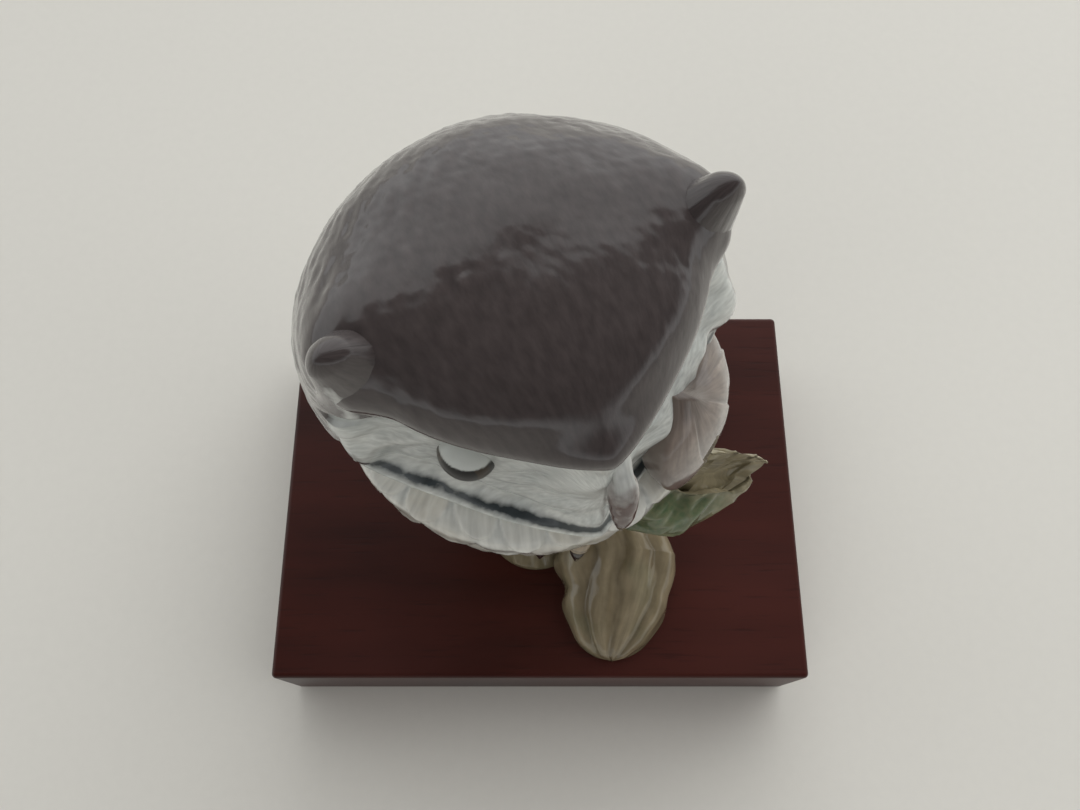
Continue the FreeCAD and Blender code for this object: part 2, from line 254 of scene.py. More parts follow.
def ring_faces(rings, around, first):
    """Corners of a tube's four-sided faces, and of the fans that close both of its ends on the two
    vertices that follow the rings. first is the number of the tube's first vertex."""
    row, column = np.meshgrid(np.arange(rings - 1), np.arange(around), indexing="ij")
    following = (column + 1) % around
    here, onward = row * around, (row + 1) * around
    quads = xyz(here + column, here + following, onward + following, onward + column)
    column, following = column[0], following[0]
    no_corner = -1 - first
    last, low, high = (rings - 1) * around, rings * around, rings * around + 1
    start = xyz(following, column, low, no_corner)
    end = xyz(last + column, last + following, high, no_corner)
    return np.concatenate([quads.reshape(-1, 4), start, end]) + first


def join_tubes(name, tubes, body, slot, replaced=(), **paints):
    """Several closed tubes in one object. tubes is a list of (ring, around, xyz) arrays, whose ends
    are closed on the middle of their rings. A paint is a list of (ring, around) arrays."""
    points, faces, first = [], [], 0
    values = {title: [] for title in paints}
    for number, rings in enumerate(tubes):
        count, around = rings.shape[:2]
        points += [rings.reshape(-1, 3), rings[:1].mean(1), rings[-1:].mean(1)]
        faces.append(ring_faces(count, around, first))
        first += count * around + 2
        for title, paint in paints.items():
            full = np.broadcast_to(paint[number], (count, around))
            values[title] += [full.ravel(), [full[0].mean(), full[-1].mean()]]
    joined = {title: np.concatenate(value) for title, value in values.items()}
    points, faces = np.concatenate(points), np.concatenate(faces)
    return make_object(name, points, faces, body, slot, replaced, **joined)


def make_tube(name, rings, body, slot, replaced=(), **paints):
    """One closed tube as an object."""
    paints = {title: [paint] for title, paint in paints.items()}
    return join_tubes(name, [rings], body, slot, replaced, **paints)


def raised(grid, height, inner=None):
    """A closed ring grid moved along its own normals by a height in millimetres. The normal is the
    cross product of the steps to the neighbours along and around the grid. It points away from
    inner, which is the grid's middle unless it is given."""
    along = np.gradient(grid, axis=0)
    around = np.roll(grid, -1, 1) - np.roll(grid, 1, 1)
    normal = np.cross(around, along)
    normal /= np.linalg.norm(normal, axis=-1, keepdims=True) + 1e-12
    middle = grid.mean((0, 1)) if inner is None else inner
    if (normal * (grid - middle)).sum() < 0:
        normal = -normal
    return grid + normal * height[..., None]


def full_turn(count, weights=(1.0, 1.0)):
    """Angles from -pi up to but not including pi, closer together where the weights are higher."""
    return (spread(weights, count + 1)[:-1] * 2 - 1) * np.pi


def path_frames(knots, share, aside):
    """Places on a smooth line, and two directions square to it: the one nearest to aside, and the
    one square to both."""
    fine = np.linspace(0, 1, 600)
    aside = np.asarray(aside, float)
    line = curve(knots, fine)
    tangent = np.gradient(line, axis=0)
    tangent /= np.linalg.norm(tangent, axis=-1, keepdims=True)
    across = aside - tangent * (tangent @ aside)[:, None]
    across /= np.linalg.norm(across, axis=-1, keepdims=True)
    over = np.cross(tangent, across)
    return [
        np.stack([np.interp(share, fine, table[:, axis]) for axis in range(3)], -1)
        for table in (line, across, over)
    ]


# ---------------------------------------------------------------------------------------------
# Head
# ---------------------------------------------------------------------------------------------

# The facial disc, in the head's own axes, in millimetres above the skull's middle: the brow's edge
# over the beak, how much higher it is at the ears, the rim under the chin, and how much higher it is
# at the sides. Bearings are from the beak, and the disc ends at this one on both sides.
BROW_LOW, BROW_RISE = 9.2, 2.0
CHIN_LOW, CHIN_RISE = -15.2, 5.2
DISC_SIDE = np.radians(84)
# The eyes' middles, by bearing, height and distance from the head's axis, and their radius.
EYE_BEARING, EYE_HIGH, EYE_REACH, EYE_RADIUS = np.radians(47), -1.6, 14.4, 3.2
# How far out the two flat halves of the face meet, how steeply they fall back from there, and how
# tightly they turn into the round sides. A higher power turns more tightly.
PROW, PROW_SLOPE, PROW_POWER = 21.6, 0.87, 11
# Millimetres along the skull for each radian of bearing, at the face and over the crown.
FACE_REACH, CROWN_REACH = 21, 21.5
# Where the skull swells under each ear tuft: how far to the side, back and up.
TUFT_SIDE, TUFT_BACK, TUFT_HIGH = 15.5, -0.6, 12.5


def egg_profile(top, top_power, bottom, bottom_power, lowest, share):
    """An upright half section at even steps of its length: how far out it is, as a share of the
    plan's radius, and how high. It is out^p + |height / half height|^p = 1, with one power and half
    height above the middle and another pair below, down to the lowest height."""
    quarter = np.linspace(0, np.pi / 2, 3000)
    deep = bottom * np.cos(quarter) ** (2 / bottom_power)
    kept = deep < -lowest
    out = np.concatenate(
        [np.sin(quarter) ** (2 / top_power), np.sin(quarter[kept][::-1]) ** (2 / bottom_power)]
    )
    high = np.concatenate([top * np.cos(quarter) ** (2 / top_power), -deep[kept][::-1]])
    walked = np.concatenate([[0], np.cumsum(np.hypot(np.diff(out * 22), np.diff(high)))])
    place = share * walked[-1]
    return np.interp(place, walked, out), np.interp(place, walked, high)


def plan_radius(bearing):
    """The skull's plan, in two curves. The round one is an ellipse. The keeled one is the lesser,
    rounded together, of that ellipse and of two straight sides that meet over the beak."""
    sine, cosine = np.sin(bearing), np.cos(bearing)
    round_one = 1 / np.hypot(sine / SKULL[0], cosine / SKULL[1])
    straight = PROW / np.clip(cosine + PROW_SLOPE * np.abs(sine), 0.2, None)
    keeled = (straight**-PROW_POWER + round_one**-PROW_POWER) ** (-1 / PROW_POWER)
    return round_one, keeled


def head_paint(points):
    """What the painter puts where, from places in the head's own axes, each as a share from 0 to 1:
    the dark cap, the brow's white edge, the dark line along the disc's lower rim, which also stands
    for the rim's shadow, and painted grey shade in the sockets and at the disc's outer corners. Then
    how far a place is inside the disc's rim, and how far from an eye. Every border wanders by a
    ragged half millimetre."""
    x, y, z = points[..., 0], points[..., 1], points[..., 2]
    bearing = np.abs(np.arctan2(x, -y))
    ragged = 0.55 * rolling(points, 3.2, 11) + 0.3 * rolling(points, 1.3, 12, 2)
    brow = BROW_LOW + BROW_RISE * np.sin(np.clip(bearing, 0, np.pi / 2)) ** 1.4
    chin = CHIN_LOW + CHIN_RISE * (np.minimum(bearing, DISC_SIDE) / DISC_SIDE) ** 2
    inward = np.minimum(brow - z, z - chin)
    inward = np.minimum(inward, (DISC_SIDE - bearing) * FACE_REACH)
    behind = smoothstep(-0.6, 0.8, (bearing - DISC_SIDE) * FACE_REACH + ragged)
    nape = smoothstep(-19.0, -12.0, z + 1.5 * ragged)
    cap = np.maximum(smoothstep(-1.0, 1.0, z - brow + ragged * 0.7), behind * nape)
    edge = smoothstep(-0.4, 0.3, brow - z + ragged * 0.4) * (1 - smoothstep(1.4, 3.2, brow - z))
    edge = edge * (1 - behind)
    # The dark line along the lower rim: the disc's own dark edge, and a painted shadow under the rim.
    line = bell(z - chin - 1.9 + 0.25 * ragged, 0.52) * (1 - behind)
    line = line * (0.75 + 0.25 * bell(bearing - 0.25, 0.35))
    side = np.sign(x)
    eye = xyz(side * np.sin(EYE_BEARING), 0 * x - np.cos(EYE_BEARING), 0 * x) * (EYE_REACH + 2)
    eye[..., 2] = EYE_HIGH
    away = np.linalg.norm(points - eye, axis=-1)
    # Painted shade: grey round each eye in its socket, and a grey patch of shade at the disc's outer
    # corners below the cap.
    socket = 0.3 * (1 - smoothstep(3.4, 5.2, away + 0.5 * ragged))
    socket = socket + bell(bearing - 1.33, 0.15) * bell(z - 6.2, 2.2) * (1 - cap)
    return cap, edge, line, socket, inward, away


def face_relief(grid, bearing, front, inward, away):
    """How far the face stands out, in millimetres: a roll along the brow and one along the chin, a
    groove under that, a fuller cheek on the owl's left, a dish inside the rim with fine rays fanned
    round each eye, and a slow unevenness. Also returns the dish by itself."""
    side, high = np.abs(bearing), grid[..., 2]
    brow = (0.9 + 0.5 * bell(side, 0.5)) * bell(inward + 1.2, 2.3) * (high > 0) * front
    cheek = np.where(grid[..., 0] > 0, 4.2, 0.6) * bell(high + 6.0, 6.5)
    cheek = cheek * smoothstep(0.10, 0.6, side) * smoothstep(2.0, 1.4, side)
    chin = 1.3 * bell(inward - 0.6, 1.5) * (high < 3) * front
    dish = smoothstep(0.0, 5.0, inward) * 1.5 * smoothstep(0.05, 0.45, side)
    groove = 0.7 * bell(inward + 1.0, 0.9) * (high < 0) * front
    rays = np.sin(9 * np.arctan2(high - EYE_HIGH, (side - EYE_BEARING) * 16) + away)
    rays = 0.16 * rays * smoothstep(3.6, 6.0, away) * smoothstep(0.4, 2.0, inward)
    uneven = 0.35 * rolling(grid, 7.0, 21, 2) * smoothstep(1.0, 4.0, inward)
    return brow + chin + cheek - dish - groove + rays + uneven, dish


def build_head(sizes):
    """The head: an upright section turned round the head's axis, on a plan that is round at the
    crown and nape and keeled at the face. The face's relief and the crown's feathers, which run
    back from the beak, are raised along the normals."""
    rings, around = 232, 408
    share = spread((0.8, 1.0, 1.2, 1.5, 1.3, 0.7), rings + 1)[1:]
    bearing = full_turn(around, (0.72, 0.75, 1.1, 1.5, 1.5, 1.1, 0.75, 0.72))[None, :]
    front = smoothstep(-0.7, 1.0, np.cos(bearing))
    out_back, high_back = egg_profile(SKULL[2], 2.15, 24.0, 2.6, -21.0, share)
    out_front, high_front = egg_profile(SKULL[2], 2.7, 26.0, 5.0, -23.5, share)
    out = out_back[:, None] * (1 - front) + out_front[:, None] * front
    high = high_back[:, None] * (1 - front) + high_front[:, None] * front
    round_one, keeled = plan_radius(bearing)
    keel = 1 - smoothstep(6.0, 19.0, high)
    reach = out * (round_one * (1 - keel) + keeled * keel)
    grid = xyz(reach * np.sin(bearing), -reach * np.cos(bearing), high)

    cap, edge, line, socket, inward, away = head_paint(grid)
    face, dish = face_relief(grid, bearing, front, inward, away)

    # Feathers are counted in rows from the beak and in columns round the line from beak to nape.
    # They are smooth over the brow and wilder towards the nape, and calm again at the very top.
    unit = grid / SKULL
    unit = unit / np.linalg.norm(unit, axis=-1, keepdims=True)
    from_face = np.arccos(np.clip(-unit[..., 1], -1, 1))
    columns = 40
    down = from_face * CROWN_REACH / sizes.crown_feather
    across = np.arctan2(unit[..., 0], unit[..., 2]) / (2 * np.pi) * columns
    tile, _, _, tone = feathers(down, across, columns, soft=0.6, seed=5.0)
    wild = smoothstep(0.75, 1.8, from_face)
    barbs = rolling(xyz(across * 4.2, down * 1.8, 0 * down), 2.0, 31, 2)
    barbs = barbs * (0.35 + 0.65 * smoothstep(3.0, 12.0, np.hypot(grid[..., 0], grid[..., 1])))
    crown = 0.06 * wild * (tile - 0.5) + (0.008 + 0.07 * wild) * barbs
    lumps = 0.24 * rolling(grid, 12.0, 33, 2) * (0.3 + 0.7 * wild)
    from_tuft = np.hypot(np.abs(grid[..., 0]) - TUFT_SIDE, grid[..., 1] - TUFT_BACK)
    from_tuft = np.hypot(from_tuft, grid[..., 2] - TUFT_HIGH)
    swelling = 3.0 * bell(from_tuft, 6.0) * smoothstep(-9.0, -4.5, grid[..., 1])
    grid = raised(grid, face + cap * crown + lumps + swelling)
    return make_tube(
        "head",
        to_head(grid),
        PORCELAIN,
        "crown_glaze",
        ("head_casting",),
        cap=cap,
        brow_edge=edge,
        disc_line=line,
        socket=socket,
        # Painted shade in the grooves between the crown's barbs and in the face's dish, and painted
        # highlights on the barbs' ridges.
        hollow=np.clip(cap * np.clip(-barbs, 0, 1) * wild * 0.7 + (1 - cap) * dish / 4, 0, 1),
        crest=np.clip(np.clip(barbs, 0, 1) * cap * wild * (0.3 + 0.5 * tone), 0, 1),
        stroke_x=across * sizes.crown_feather,
        stroke_y=down * sizes.crown_feather,
    )


def build_tufts():
    """The ear tufts: a rounded section, flatter in front, on a line from the skull up and outwards.
    Its half size is 1.5 + 4.0 r + 1.4 r^3 mm, where r stays 1 for the first 45 % of the line and
    falls evenly to 0 at the tip, so that the flanks are hollow. It closes as a quarter circle over
    the last 10 %."""
    made = []
    rings, around, closing = 96, 128, 0.10
    rounded = 1 - closing * np.linspace(1, 0, 21)[1:] ** 2
    share = np.concatenate([np.linspace(0, 1 - closing, rings - 20), rounded])
    knots = ((12.5, -1.2, 4.0), (14.8, -2.4, 9.5), (17.4, -3.5, 14.8), (19.7, -4.2, 20.2))
    # The tuft looks forward and outward, this much to the side and this much ahead.
    look_side, look_ahead = 0.633, 0.774
    for side, sign in (("left", 1.0), ("right", -1.0)):
        angle = full_turn(around)[None, :]
        along = share[:, None] + 0 * angle
        middle, across, over = path_frames(knots, along, (1, 0, 0))
        left_over = 1 - np.clip((along - 0.45) / 0.55, 0, 1)
        size = 1.5 + 4.0 * left_over + 1.4 * left_over**3
        closed = np.clip((along - 1 + closing) / closing, 0, 1)
        size = size * np.sqrt(np.clip(1 - closed**2, 0.0009, 1))
        form = middle + across * (np.cos(angle) * size)[..., None]
        beside = over * (np.sin(angle) * size)[..., None]
        form = form + beside * np.where(beside[..., 1:2] < 0, 0.62, 0.92)
        form[..., 0] *= sign
        strokes = rolling(xyz(angle * 5 + 0 * along, along * 5, 0 * along), 3.0, 41, 3)
        form = raised(form, 0.04 * strokes * smoothstep(0.98, 0.85, along))
        from_line = form - middle * (sign, 1, 1)
        facing = from_line[..., 0] * sign * look_side - from_line[..., 1] * look_ahead
        facing = facing / (size + 0.2) + 0.1 * strokes
        cap = 1 - smoothstep(0.55, 0.8, facing) * smoothstep(0.90, 0.75, along)
        made.append(
            make_tube(
                f"{side}_ear_tuft_horn",
                to_head(form),
                PORCELAIN,
                "crown_glaze",
                (f"{side}_ear_tuft",),
                cap=cap,
                brow_edge=0.2 * (1 - cap),
                disc_line=0 * along,
                socket=0 * along,
                # Painted shade in the grooves between the tuft's strokes.
                hollow=np.clip(-strokes, 0, 1) * 0.3,
                crest=0 * along,
                stroke_x=angle * 4,
                stroke_y=along * 16,
            )
        )
    return made


def build_eyes():
    """The eyes: balls set in the disc, flattened to 0.92 along the way they look. gaze is the angle
    from the middle of the pupil, as a share of a quarter turn, and lid covers the ball's top from
    0.4 of its radius up."""
    rings, around, pole = 48, 72, 0.03
    fall = np.linspace(pole, np.pi - pole, rings)[:, None]
    angle = full_turn(around)[None, :]
    made = []
    for side, sign in (("left", 1.0), ("right", -1.0)):
        look = np.array([sign * np.sin(EYE_BEARING), -np.cos(EYE_BEARING), 0.12])
        look /= np.linalg.norm(look)
        aside = np.cross(look, (0, 0, 1.0))
        aside /= np.linalg.norm(aside)
        above = np.cross(aside, look)
        out, ahead = np.sin(EYE_BEARING) * EYE_REACH, np.cos(EYE_BEARING) * EYE_REACH
        middle = np.array([sign * out, -ahead, EYE_HIGH])
        ball = (
            look * (np.cos(fall) * 0.92 + 0 * angle)[..., None]
            + aside * (np.sin(fall) * np.cos(angle))[..., None]
            + above * (np.sin(fall) * np.sin(angle))[..., None]
        )
        made.append(
            make_tube(
                f"{side}_eye",
                to_head(middle + EYE_RADIUS * ball),
                PORCELAIN,
                "beak_glaze",
                gaze=fall / (np.pi / 2),
                lid=smoothstep(0.40, 0.45, np.sin(fall) * np.sin(angle)),
                stroke_x=angle * 3,
            )
        )
    return made


def build_beak():
    """The beak: a rounded, keeled section on a line that comes out between the halves of the disc
    and hooks down. Its half sizes are smooth lines through five knots, its section is swollen by
    cosines of two and three turns, and it closes as a quarter circle over the last 6 %."""
    rings, around, closing = 110, 120, 0.06
    share = spread((1, 1, 1, 1.3, 2.2), rings)[:, None]
    angle = full_turn(around)[None, :]
    knots = (
        (1.7, -16.4, 7.4),
        (1.6, -18.7, 4.6),
        (1.4, -20.6, 1.2),
        (1.1, -22.0, -2.6),
        (0.9, -22.7, -6.2),
    )
    middle, across, over = path_frames(knots, share + 0 * angle, (1, 0, 0))
    wide = curve((0.9, 1.5, 1.8, 1.4, 0.5), share)
    thick = curve((0.9, 1.4, 1.8, 1.4, 0.5), share)
    close = np.sqrt(np.clip(1 - np.clip((share - 1 + closing) / closing, 0, 1) ** 2, 0.001, 1))
    keel = 1 + 0.13 * np.cos(2 * (angle - np.pi / 2)) + 0.05 * np.cos(3 * (angle + np.pi / 2))
    form = middle + across * (np.cos(angle) * wide * close * keel)[..., None]
    form = form + over * (np.sin(angle) * thick * close * keel)[..., None]
    nostril = bell(share - 0.36, 0.07) * bell(np.abs(np.cos(angle)) - 0.85, 0.2)
    growth = 0.015 * np.sin(share * 60) + 0.04 * rolling(form, 3.0, 51, 2)
    # The owl's left side gets a painted highlight, and the horn colour starts a third of the way down.
    lit = smoothstep(0.45, 0.9, np.cos(angle)) * smoothstep(0.15, 0.4, share)
    form = raised(form, growth - 0.35 * nostril)
    horn = smoothstep(0.36, 0.56, share + 0.05 * rolling(form, 2.5, 52, 2))
    return make_tube(
        "beak_hook",
        to_head(form),
        PORCELAIN,
        "beak_glaze",
        ("beak",),
        pale=lit,
        horn=horn * (1 - 0.7 * lit),
        # Painted shade in the nostrils and where the beak leaves the face.
        hollow=np.clip(nostril + bell(share, 0.12), 0, 1),
        stroke_x=angle * 2.5,
        stroke_y=share * 17,
    )


# ---------------------------------------------------------------------------------------------
# Body
# ---------------------------------------------------------------------------------------------

# The torso's radius without feathers, from its lowest point to inside the head, at heights in
# millimetres above the plinth.
BREAST_HEIGHTS = (27.5, 30, 34, 40, 46, 51, 54.5, 56.5, 58.5, 61, 66, 76)
BREAST_REACH = (11.0, 13.4, 16.2, 18.9, 20.7, 21.7, 21.8, 19.9, 17.0, 15.0, 13.2, 9.0)


def breast_radius(high):
    """The torso's radius, without feathers, at a height above the plinth: a smooth line through the
    listed radii."""
    steps = np.linspace(0, 1, len(BREAST_HEIGHTS))
    return curve(BREAST_REACH, np.interp(high, BREAST_HEIGHTS, steps))


def build_torso(sizes):
    """Breast and back: an upright profile turned round the body's axis, a little wider at the wings,
    with rows of round feathers laid like tiles, each row's tips standing clear of the next."""
    rings, around, columns = 236, 400, 22
    top, bottom = BREAST_HEIGHTS[-1], BREAST_HEIGHTS[0]
    high = top - spread((0.5, 1, 1.3, 1.2, 1.0), rings) * (top - bottom)
    bearing = full_turn(around, (0.85, 0.9, 1.1, 1.25, 1.25, 1.1, 0.9, 0.85))[None, :]
    high = high[:, None] + 0 * bearing
    reach = breast_radius(high) * (1 + 0.07 * np.sin(bearing) ** 2)
    grid = xyz(reach * np.sin(bearing), -reach * np.cos(bearing), high + DECK)
    # Rows of feathers are counted down from inside the head, and wander a little.
    down = (80.6 - high) / sizes.breast_feather + 0.35 * np.cos(bearing * 2)
    down = down + 0.30 * rolling(grid, 13.0, 61, 2)
    across = bearing / (2 * np.pi) * columns + 0.25 * rolling(grid, 16.0, 62, 1)
    tile, tip, _, tone = feathers(down, across, columns, soft=0.22, seed=9.0)
    barbs = np.sin(across * 2 * np.pi * 4 + 3 * tone) * smoothstep(0.2, 0.8, tile)
    height = sizes.breast_lift * (tile - 0.35) + 0.025 * barbs + 0.06 * tip
    grid = raised(grid, height + 0.25 * rolling(grid, 9.0, 63, 2))
    buff = np.clip(0.25 + 0.55 * tone + 0.4 * smoothstep(50, 34, high), 0, 1)
    return make_tube(
        "torso",
        to_body(grid),
        PORCELAIN,
        "breast_glaze",
        ("torso_casting",),
        # Painted grey shade where each feather lies under the one above, and painted highlights along
        # the feathers' rims.
        hollow=np.clip(1.1 - 2.4 * tile, 0, 1) * (1 - tip),
        crest=np.clip(tip, 0, 1),
        buff=buff * smoothstep(0.15, 0.6, tile),
        under=smoothstep(52, 36, high),
        back=smoothstep(1.3, 2.0, np.abs(bearing)),
        stroke_x=across * sizes.breast_feather,
        stroke_y=down * sizes.breast_feather,
    )


def build_wings(sizes):
    """The folded wings: a band on the torso's flank, between two bearings that follow the wing down
    and back. Its outer face is domed as sine^0.45 and its inner face as sine^0.5. Short coverts,
    drawn as arcs along the rim, lie over long quills laid like tiles."""
    rings, around, columns = 236, 300, 40
    share = spread((1.2, 1, 1, 1, 1.3), rings)[:, None]
    angle = full_turn(around)[None, :]
    # chord runs from -1 at the front edge to 1 at the back, and face is over 0 on the outside.
    chord, face = -np.cos(angle), np.sin(angle)
    outside, inside = np.clip(face, 0, 1), np.clip(-face, 0, 1)
    middle = np.radians(curve((80, 86, 92, 101, 113, 126, 140), share))
    half = np.radians(curve((5, 25, 32, 31, 26, 18, 3.5), share))
    high = curve((69.5, 64, 57.5, 49, 39, 29, 20), share)
    beyond = curve((18.2, 20.8, 22.1, 22.6, 22.2, 21.4, 20.6), share)
    rows = np.interp(share, (0, 0.30, 0.52, 0.75, 1), (0, 2.6, 4.3, 5.6, 6.8))
    across = 3.1 * chord
    quills = smoothstep(0.42, 0.6, share)
    notch = 0.045 * (1 - np.mod(rows, 1)) * smoothstep(0.45, 0.6, share)
    bearing = middle + half * chord * (1 + notch)
    outer = outside**0.45 * (0.9 + 1.3 * bell(share - 0.35, 0.45))
    lean = 1.6 * (1 - share) * bell(chord, 0.8) * outside**0.5
    reach = beyond + 0.35 + outer - 4.5 * inside**0.5 + lean
    sag = 3.5 * chord * (0.4 + share)
    flank = xyz(reach * np.sin(bearing), -reach * np.cos(bearing), high - sag + DECK)
    warped = rows + 0.45 * chord**2 * smoothstep(0.9, 0.5, share) + 0.1 * rolling(flank, 12, 71, 1)
    layer = np.mod((chord + 1.15) * 1.7, 1.0)
    arcs = smoothstep(0.0, 0.12, layer) * layer * (1 - quills) * smoothstep(0.03, 0.15, share)
    lift = sizes.wing_lift * (0.35 + 0.65 * quills) * smoothstep(0.04, 0.3, share) * quills
    lift = lift * (1 - 0.75 * smoothstep(0.55, 0.95, np.abs(chord)))
    barbs = np.sin((across * 7 + warped * 1.5) * 2 * np.pi) * 0.035
    barbs = barbs * smoothstep(0.30, 0.55, share)
    uneven = 0.15 * rolling(flank, 8.0, 72, 2)
    made = []
    for side, sign, seed in (("left", 1.0, 13.0), ("right", -1.0, 17.0)):
        tile, tip, shaft, tone = feathers(warped, across, columns, soft=0.22, seed=seed)
        height = 0.22 * (arcs - 0.4) + lift * (tile - 0.4) + 0.12 * shaft * quills + barbs
        grid = raised(flank, height * smoothstep(0.0, 0.35, face) + uneven)
        grid[..., 0] *= sign
        gaps = np.clip(1.0 - 2.2 * tile, 0, 1) * (1 - tip) * (face > 0) * quills
        bars = smoothstep(0.1, 0.7, np.sin(warped * 2 * np.pi * 1.5 + 2 * tone))
        made.append(
            make_tube(
                f"{side}_wing_feathers",
                to_body(grid),
                PORCELAIN,
                "wing_glaze",
                (f"{side}_wing",),
                # Painted shade in the gaps between the quills and between the coverts' arcs, and
                # painted highlights on the quills' tips and along the arcs.
                hollow=gaps + smoothstep(0.75, 1.0, 1 - arcs) * (1 - quills) * 0.5,
                crest=np.clip(tip * quills + 0.8 * smoothstep(0.6, 0.95, arcs), 0, 1),
                shaft=shaft * quills,
                bars=bars * quills,
                buff=np.clip(0.3 + 0.9 * tone - 0.3 * share, 0, 1),
                stroke_x=across * 4.0,
                stroke_y=warped * 7.0,
            )
        )
    return made


def build_tail():
    """The tail: a flat band from the back of the torso down behind the stump, with about seven long
    feathers side by side, laid like tiles. Its section is |cosine|^0.8 wide and |sine|^0.7 thick."""
    rings, around, columns = 170, 220, 40
    knots = ((0, 19.5, 56), (0, 22.6, 46), (0, 23.4, 35), (0, 24.6, 23), (0, 27.2, 10.5))
    knots = np.array(knots) + (0, 0, DECK)
    share = spread((1, 1, 1, 1, 1.4), rings)[:, None]
    angle = full_turn(around)[None, :]
    middle, across, over = path_frames(knots, share + 0 * angle, (1, 0, 0))
    over = over * np.sign(over[..., 1].mean())
    wide = curve((3.0, 8.0, 9.3, 9.0, 4.5), share)
    thick = curve((1.5, 3.0, 3.0, 2.2, 0.9), share)
    chord, face = np.cos(angle), np.sin(angle)
    form = middle + across * (np.sign(chord) * np.abs(chord) ** 0.8 * wide)[..., None]
    form = form + over * (np.sign(face) * np.abs(face) ** 0.7 * thick)[..., None]
    down = np.interp(share, (0, 0.3, 1), (0, 2.2, 4.1)) + 0.5 * chord**2
    tile, tip, shaft, tone = feathers(down, chord * 3.4, columns, soft=0.2, seed=23.0)
    barbs = 0.035 * np.sin((chord * 20 + down * 2) * 2 * np.pi)
    form = raised(form, 0.8 * (tile - 0.4) + 0.12 * shaft + barbs)
    return make_tube(
        "tail_feathers",
        to_body(form),
        PORCELAIN,
        "wing_glaze",
        ("tail",),
        # Painted shade where each tail feather lies under the next, and painted highlights along their
        # rims.
        hollow=np.clip(1.0 - 2.2 * tile, 0, 1) * (1 - tip),
        crest=np.clip(tip, 0, 1),
        shaft=shaft,
        bars=smoothstep(0.1, 0.7, np.sin(down * 2 * np.pi * 1.4)) * smoothstep(0.2, 0.4, share),
        buff=0.3 + 0.5 * tone,
        stroke_x=chord * 10,
        stroke_y=down * 10,
    )


def build_feet():
    """The feet: three toes each over the stump's edge, each a knuckled section on a line that bends
    down, ending in a talon. The talon's half size falls smoothly to a third of a millimetre."""
    rings, around = 84, 56
    foot_aside, toe_apart = 6.8, 4.3
    share = np.linspace(0, 1, rings)[:, None]
    angle = full_turn(around)[None, :]
    knuckles = 0.16 * bell(share - 0.30, 0.08) + 0.16 * bell(share - 0.55, 0.08)
    talon = smoothstep(0.70, 0.74, share)
    size = (curve((1.9, 2.15, 2.05, 1.45, 0.35), share) + knuckles) * (1 - 0.16 * talon)
    crease = np.clip(np.sin(share * 75), 0, 1) ** 4 * (1 - talon) * smoothstep(0.08, 0.2, share)
    made = []
    for side, sign in (("left", 1.0), ("right", -1.0)):
        tubes = []
        for toe in (-1, 0, 1):
            x = sign * foot_aside + toe * toe_apart
            fan = 0.7 * toe
            front = -1.0 if toe == 0 else 0.0
            knots = np.array(
                [
                    (x, -5.4, 30.0),
                    (x + fan * 0.3, -8.6, 31.3),
                    (x + fan, -11.6 + front, 30.6),
                    (x + fan * 1.3, -14.0 + front, 27.8),
                    (x + fan * 1.4, -14.9 + front, 24.4),
                ]
            )
            knots[:, 2] += DECK
            middle, across, over = path_frames(knots, share + 0 * angle, (1, 0, 0))
            form = middle + across * (np.cos(angle) * size)[..., None]
            form = form + over * (np.sin(angle) * size * 0.95)[..., None]
            tubes.append(to_body(raised(form, -0.13 * crease + 0 * angle)))
        made.append(
            join_tubes(
                f"{side}_toes",
                tubes,
                PORCELAIN,
                "beak_glaze",
                (f"{side}_foot",),
                talon=[talon] * len(tubes),
                # Painted shade in the creases between the toes' knuckles.
                hollow=[crease] * len(tubes),
                stroke_x=[angle * 2] * len(tubes),
                stroke_y=[share * 14] * len(tubes),
            )
        )
    return made


# ---------------------------------------------------------------------------------------------
# Tree
# ---------------------------------------------------------------------------------------------


def ridged(points, wavelength, seed):
    """Sharp ridges between round hollows: 1 - |rolling|, squared."""
    return (1 - np.abs(rolling(points, wavelength, seed))) ** 2


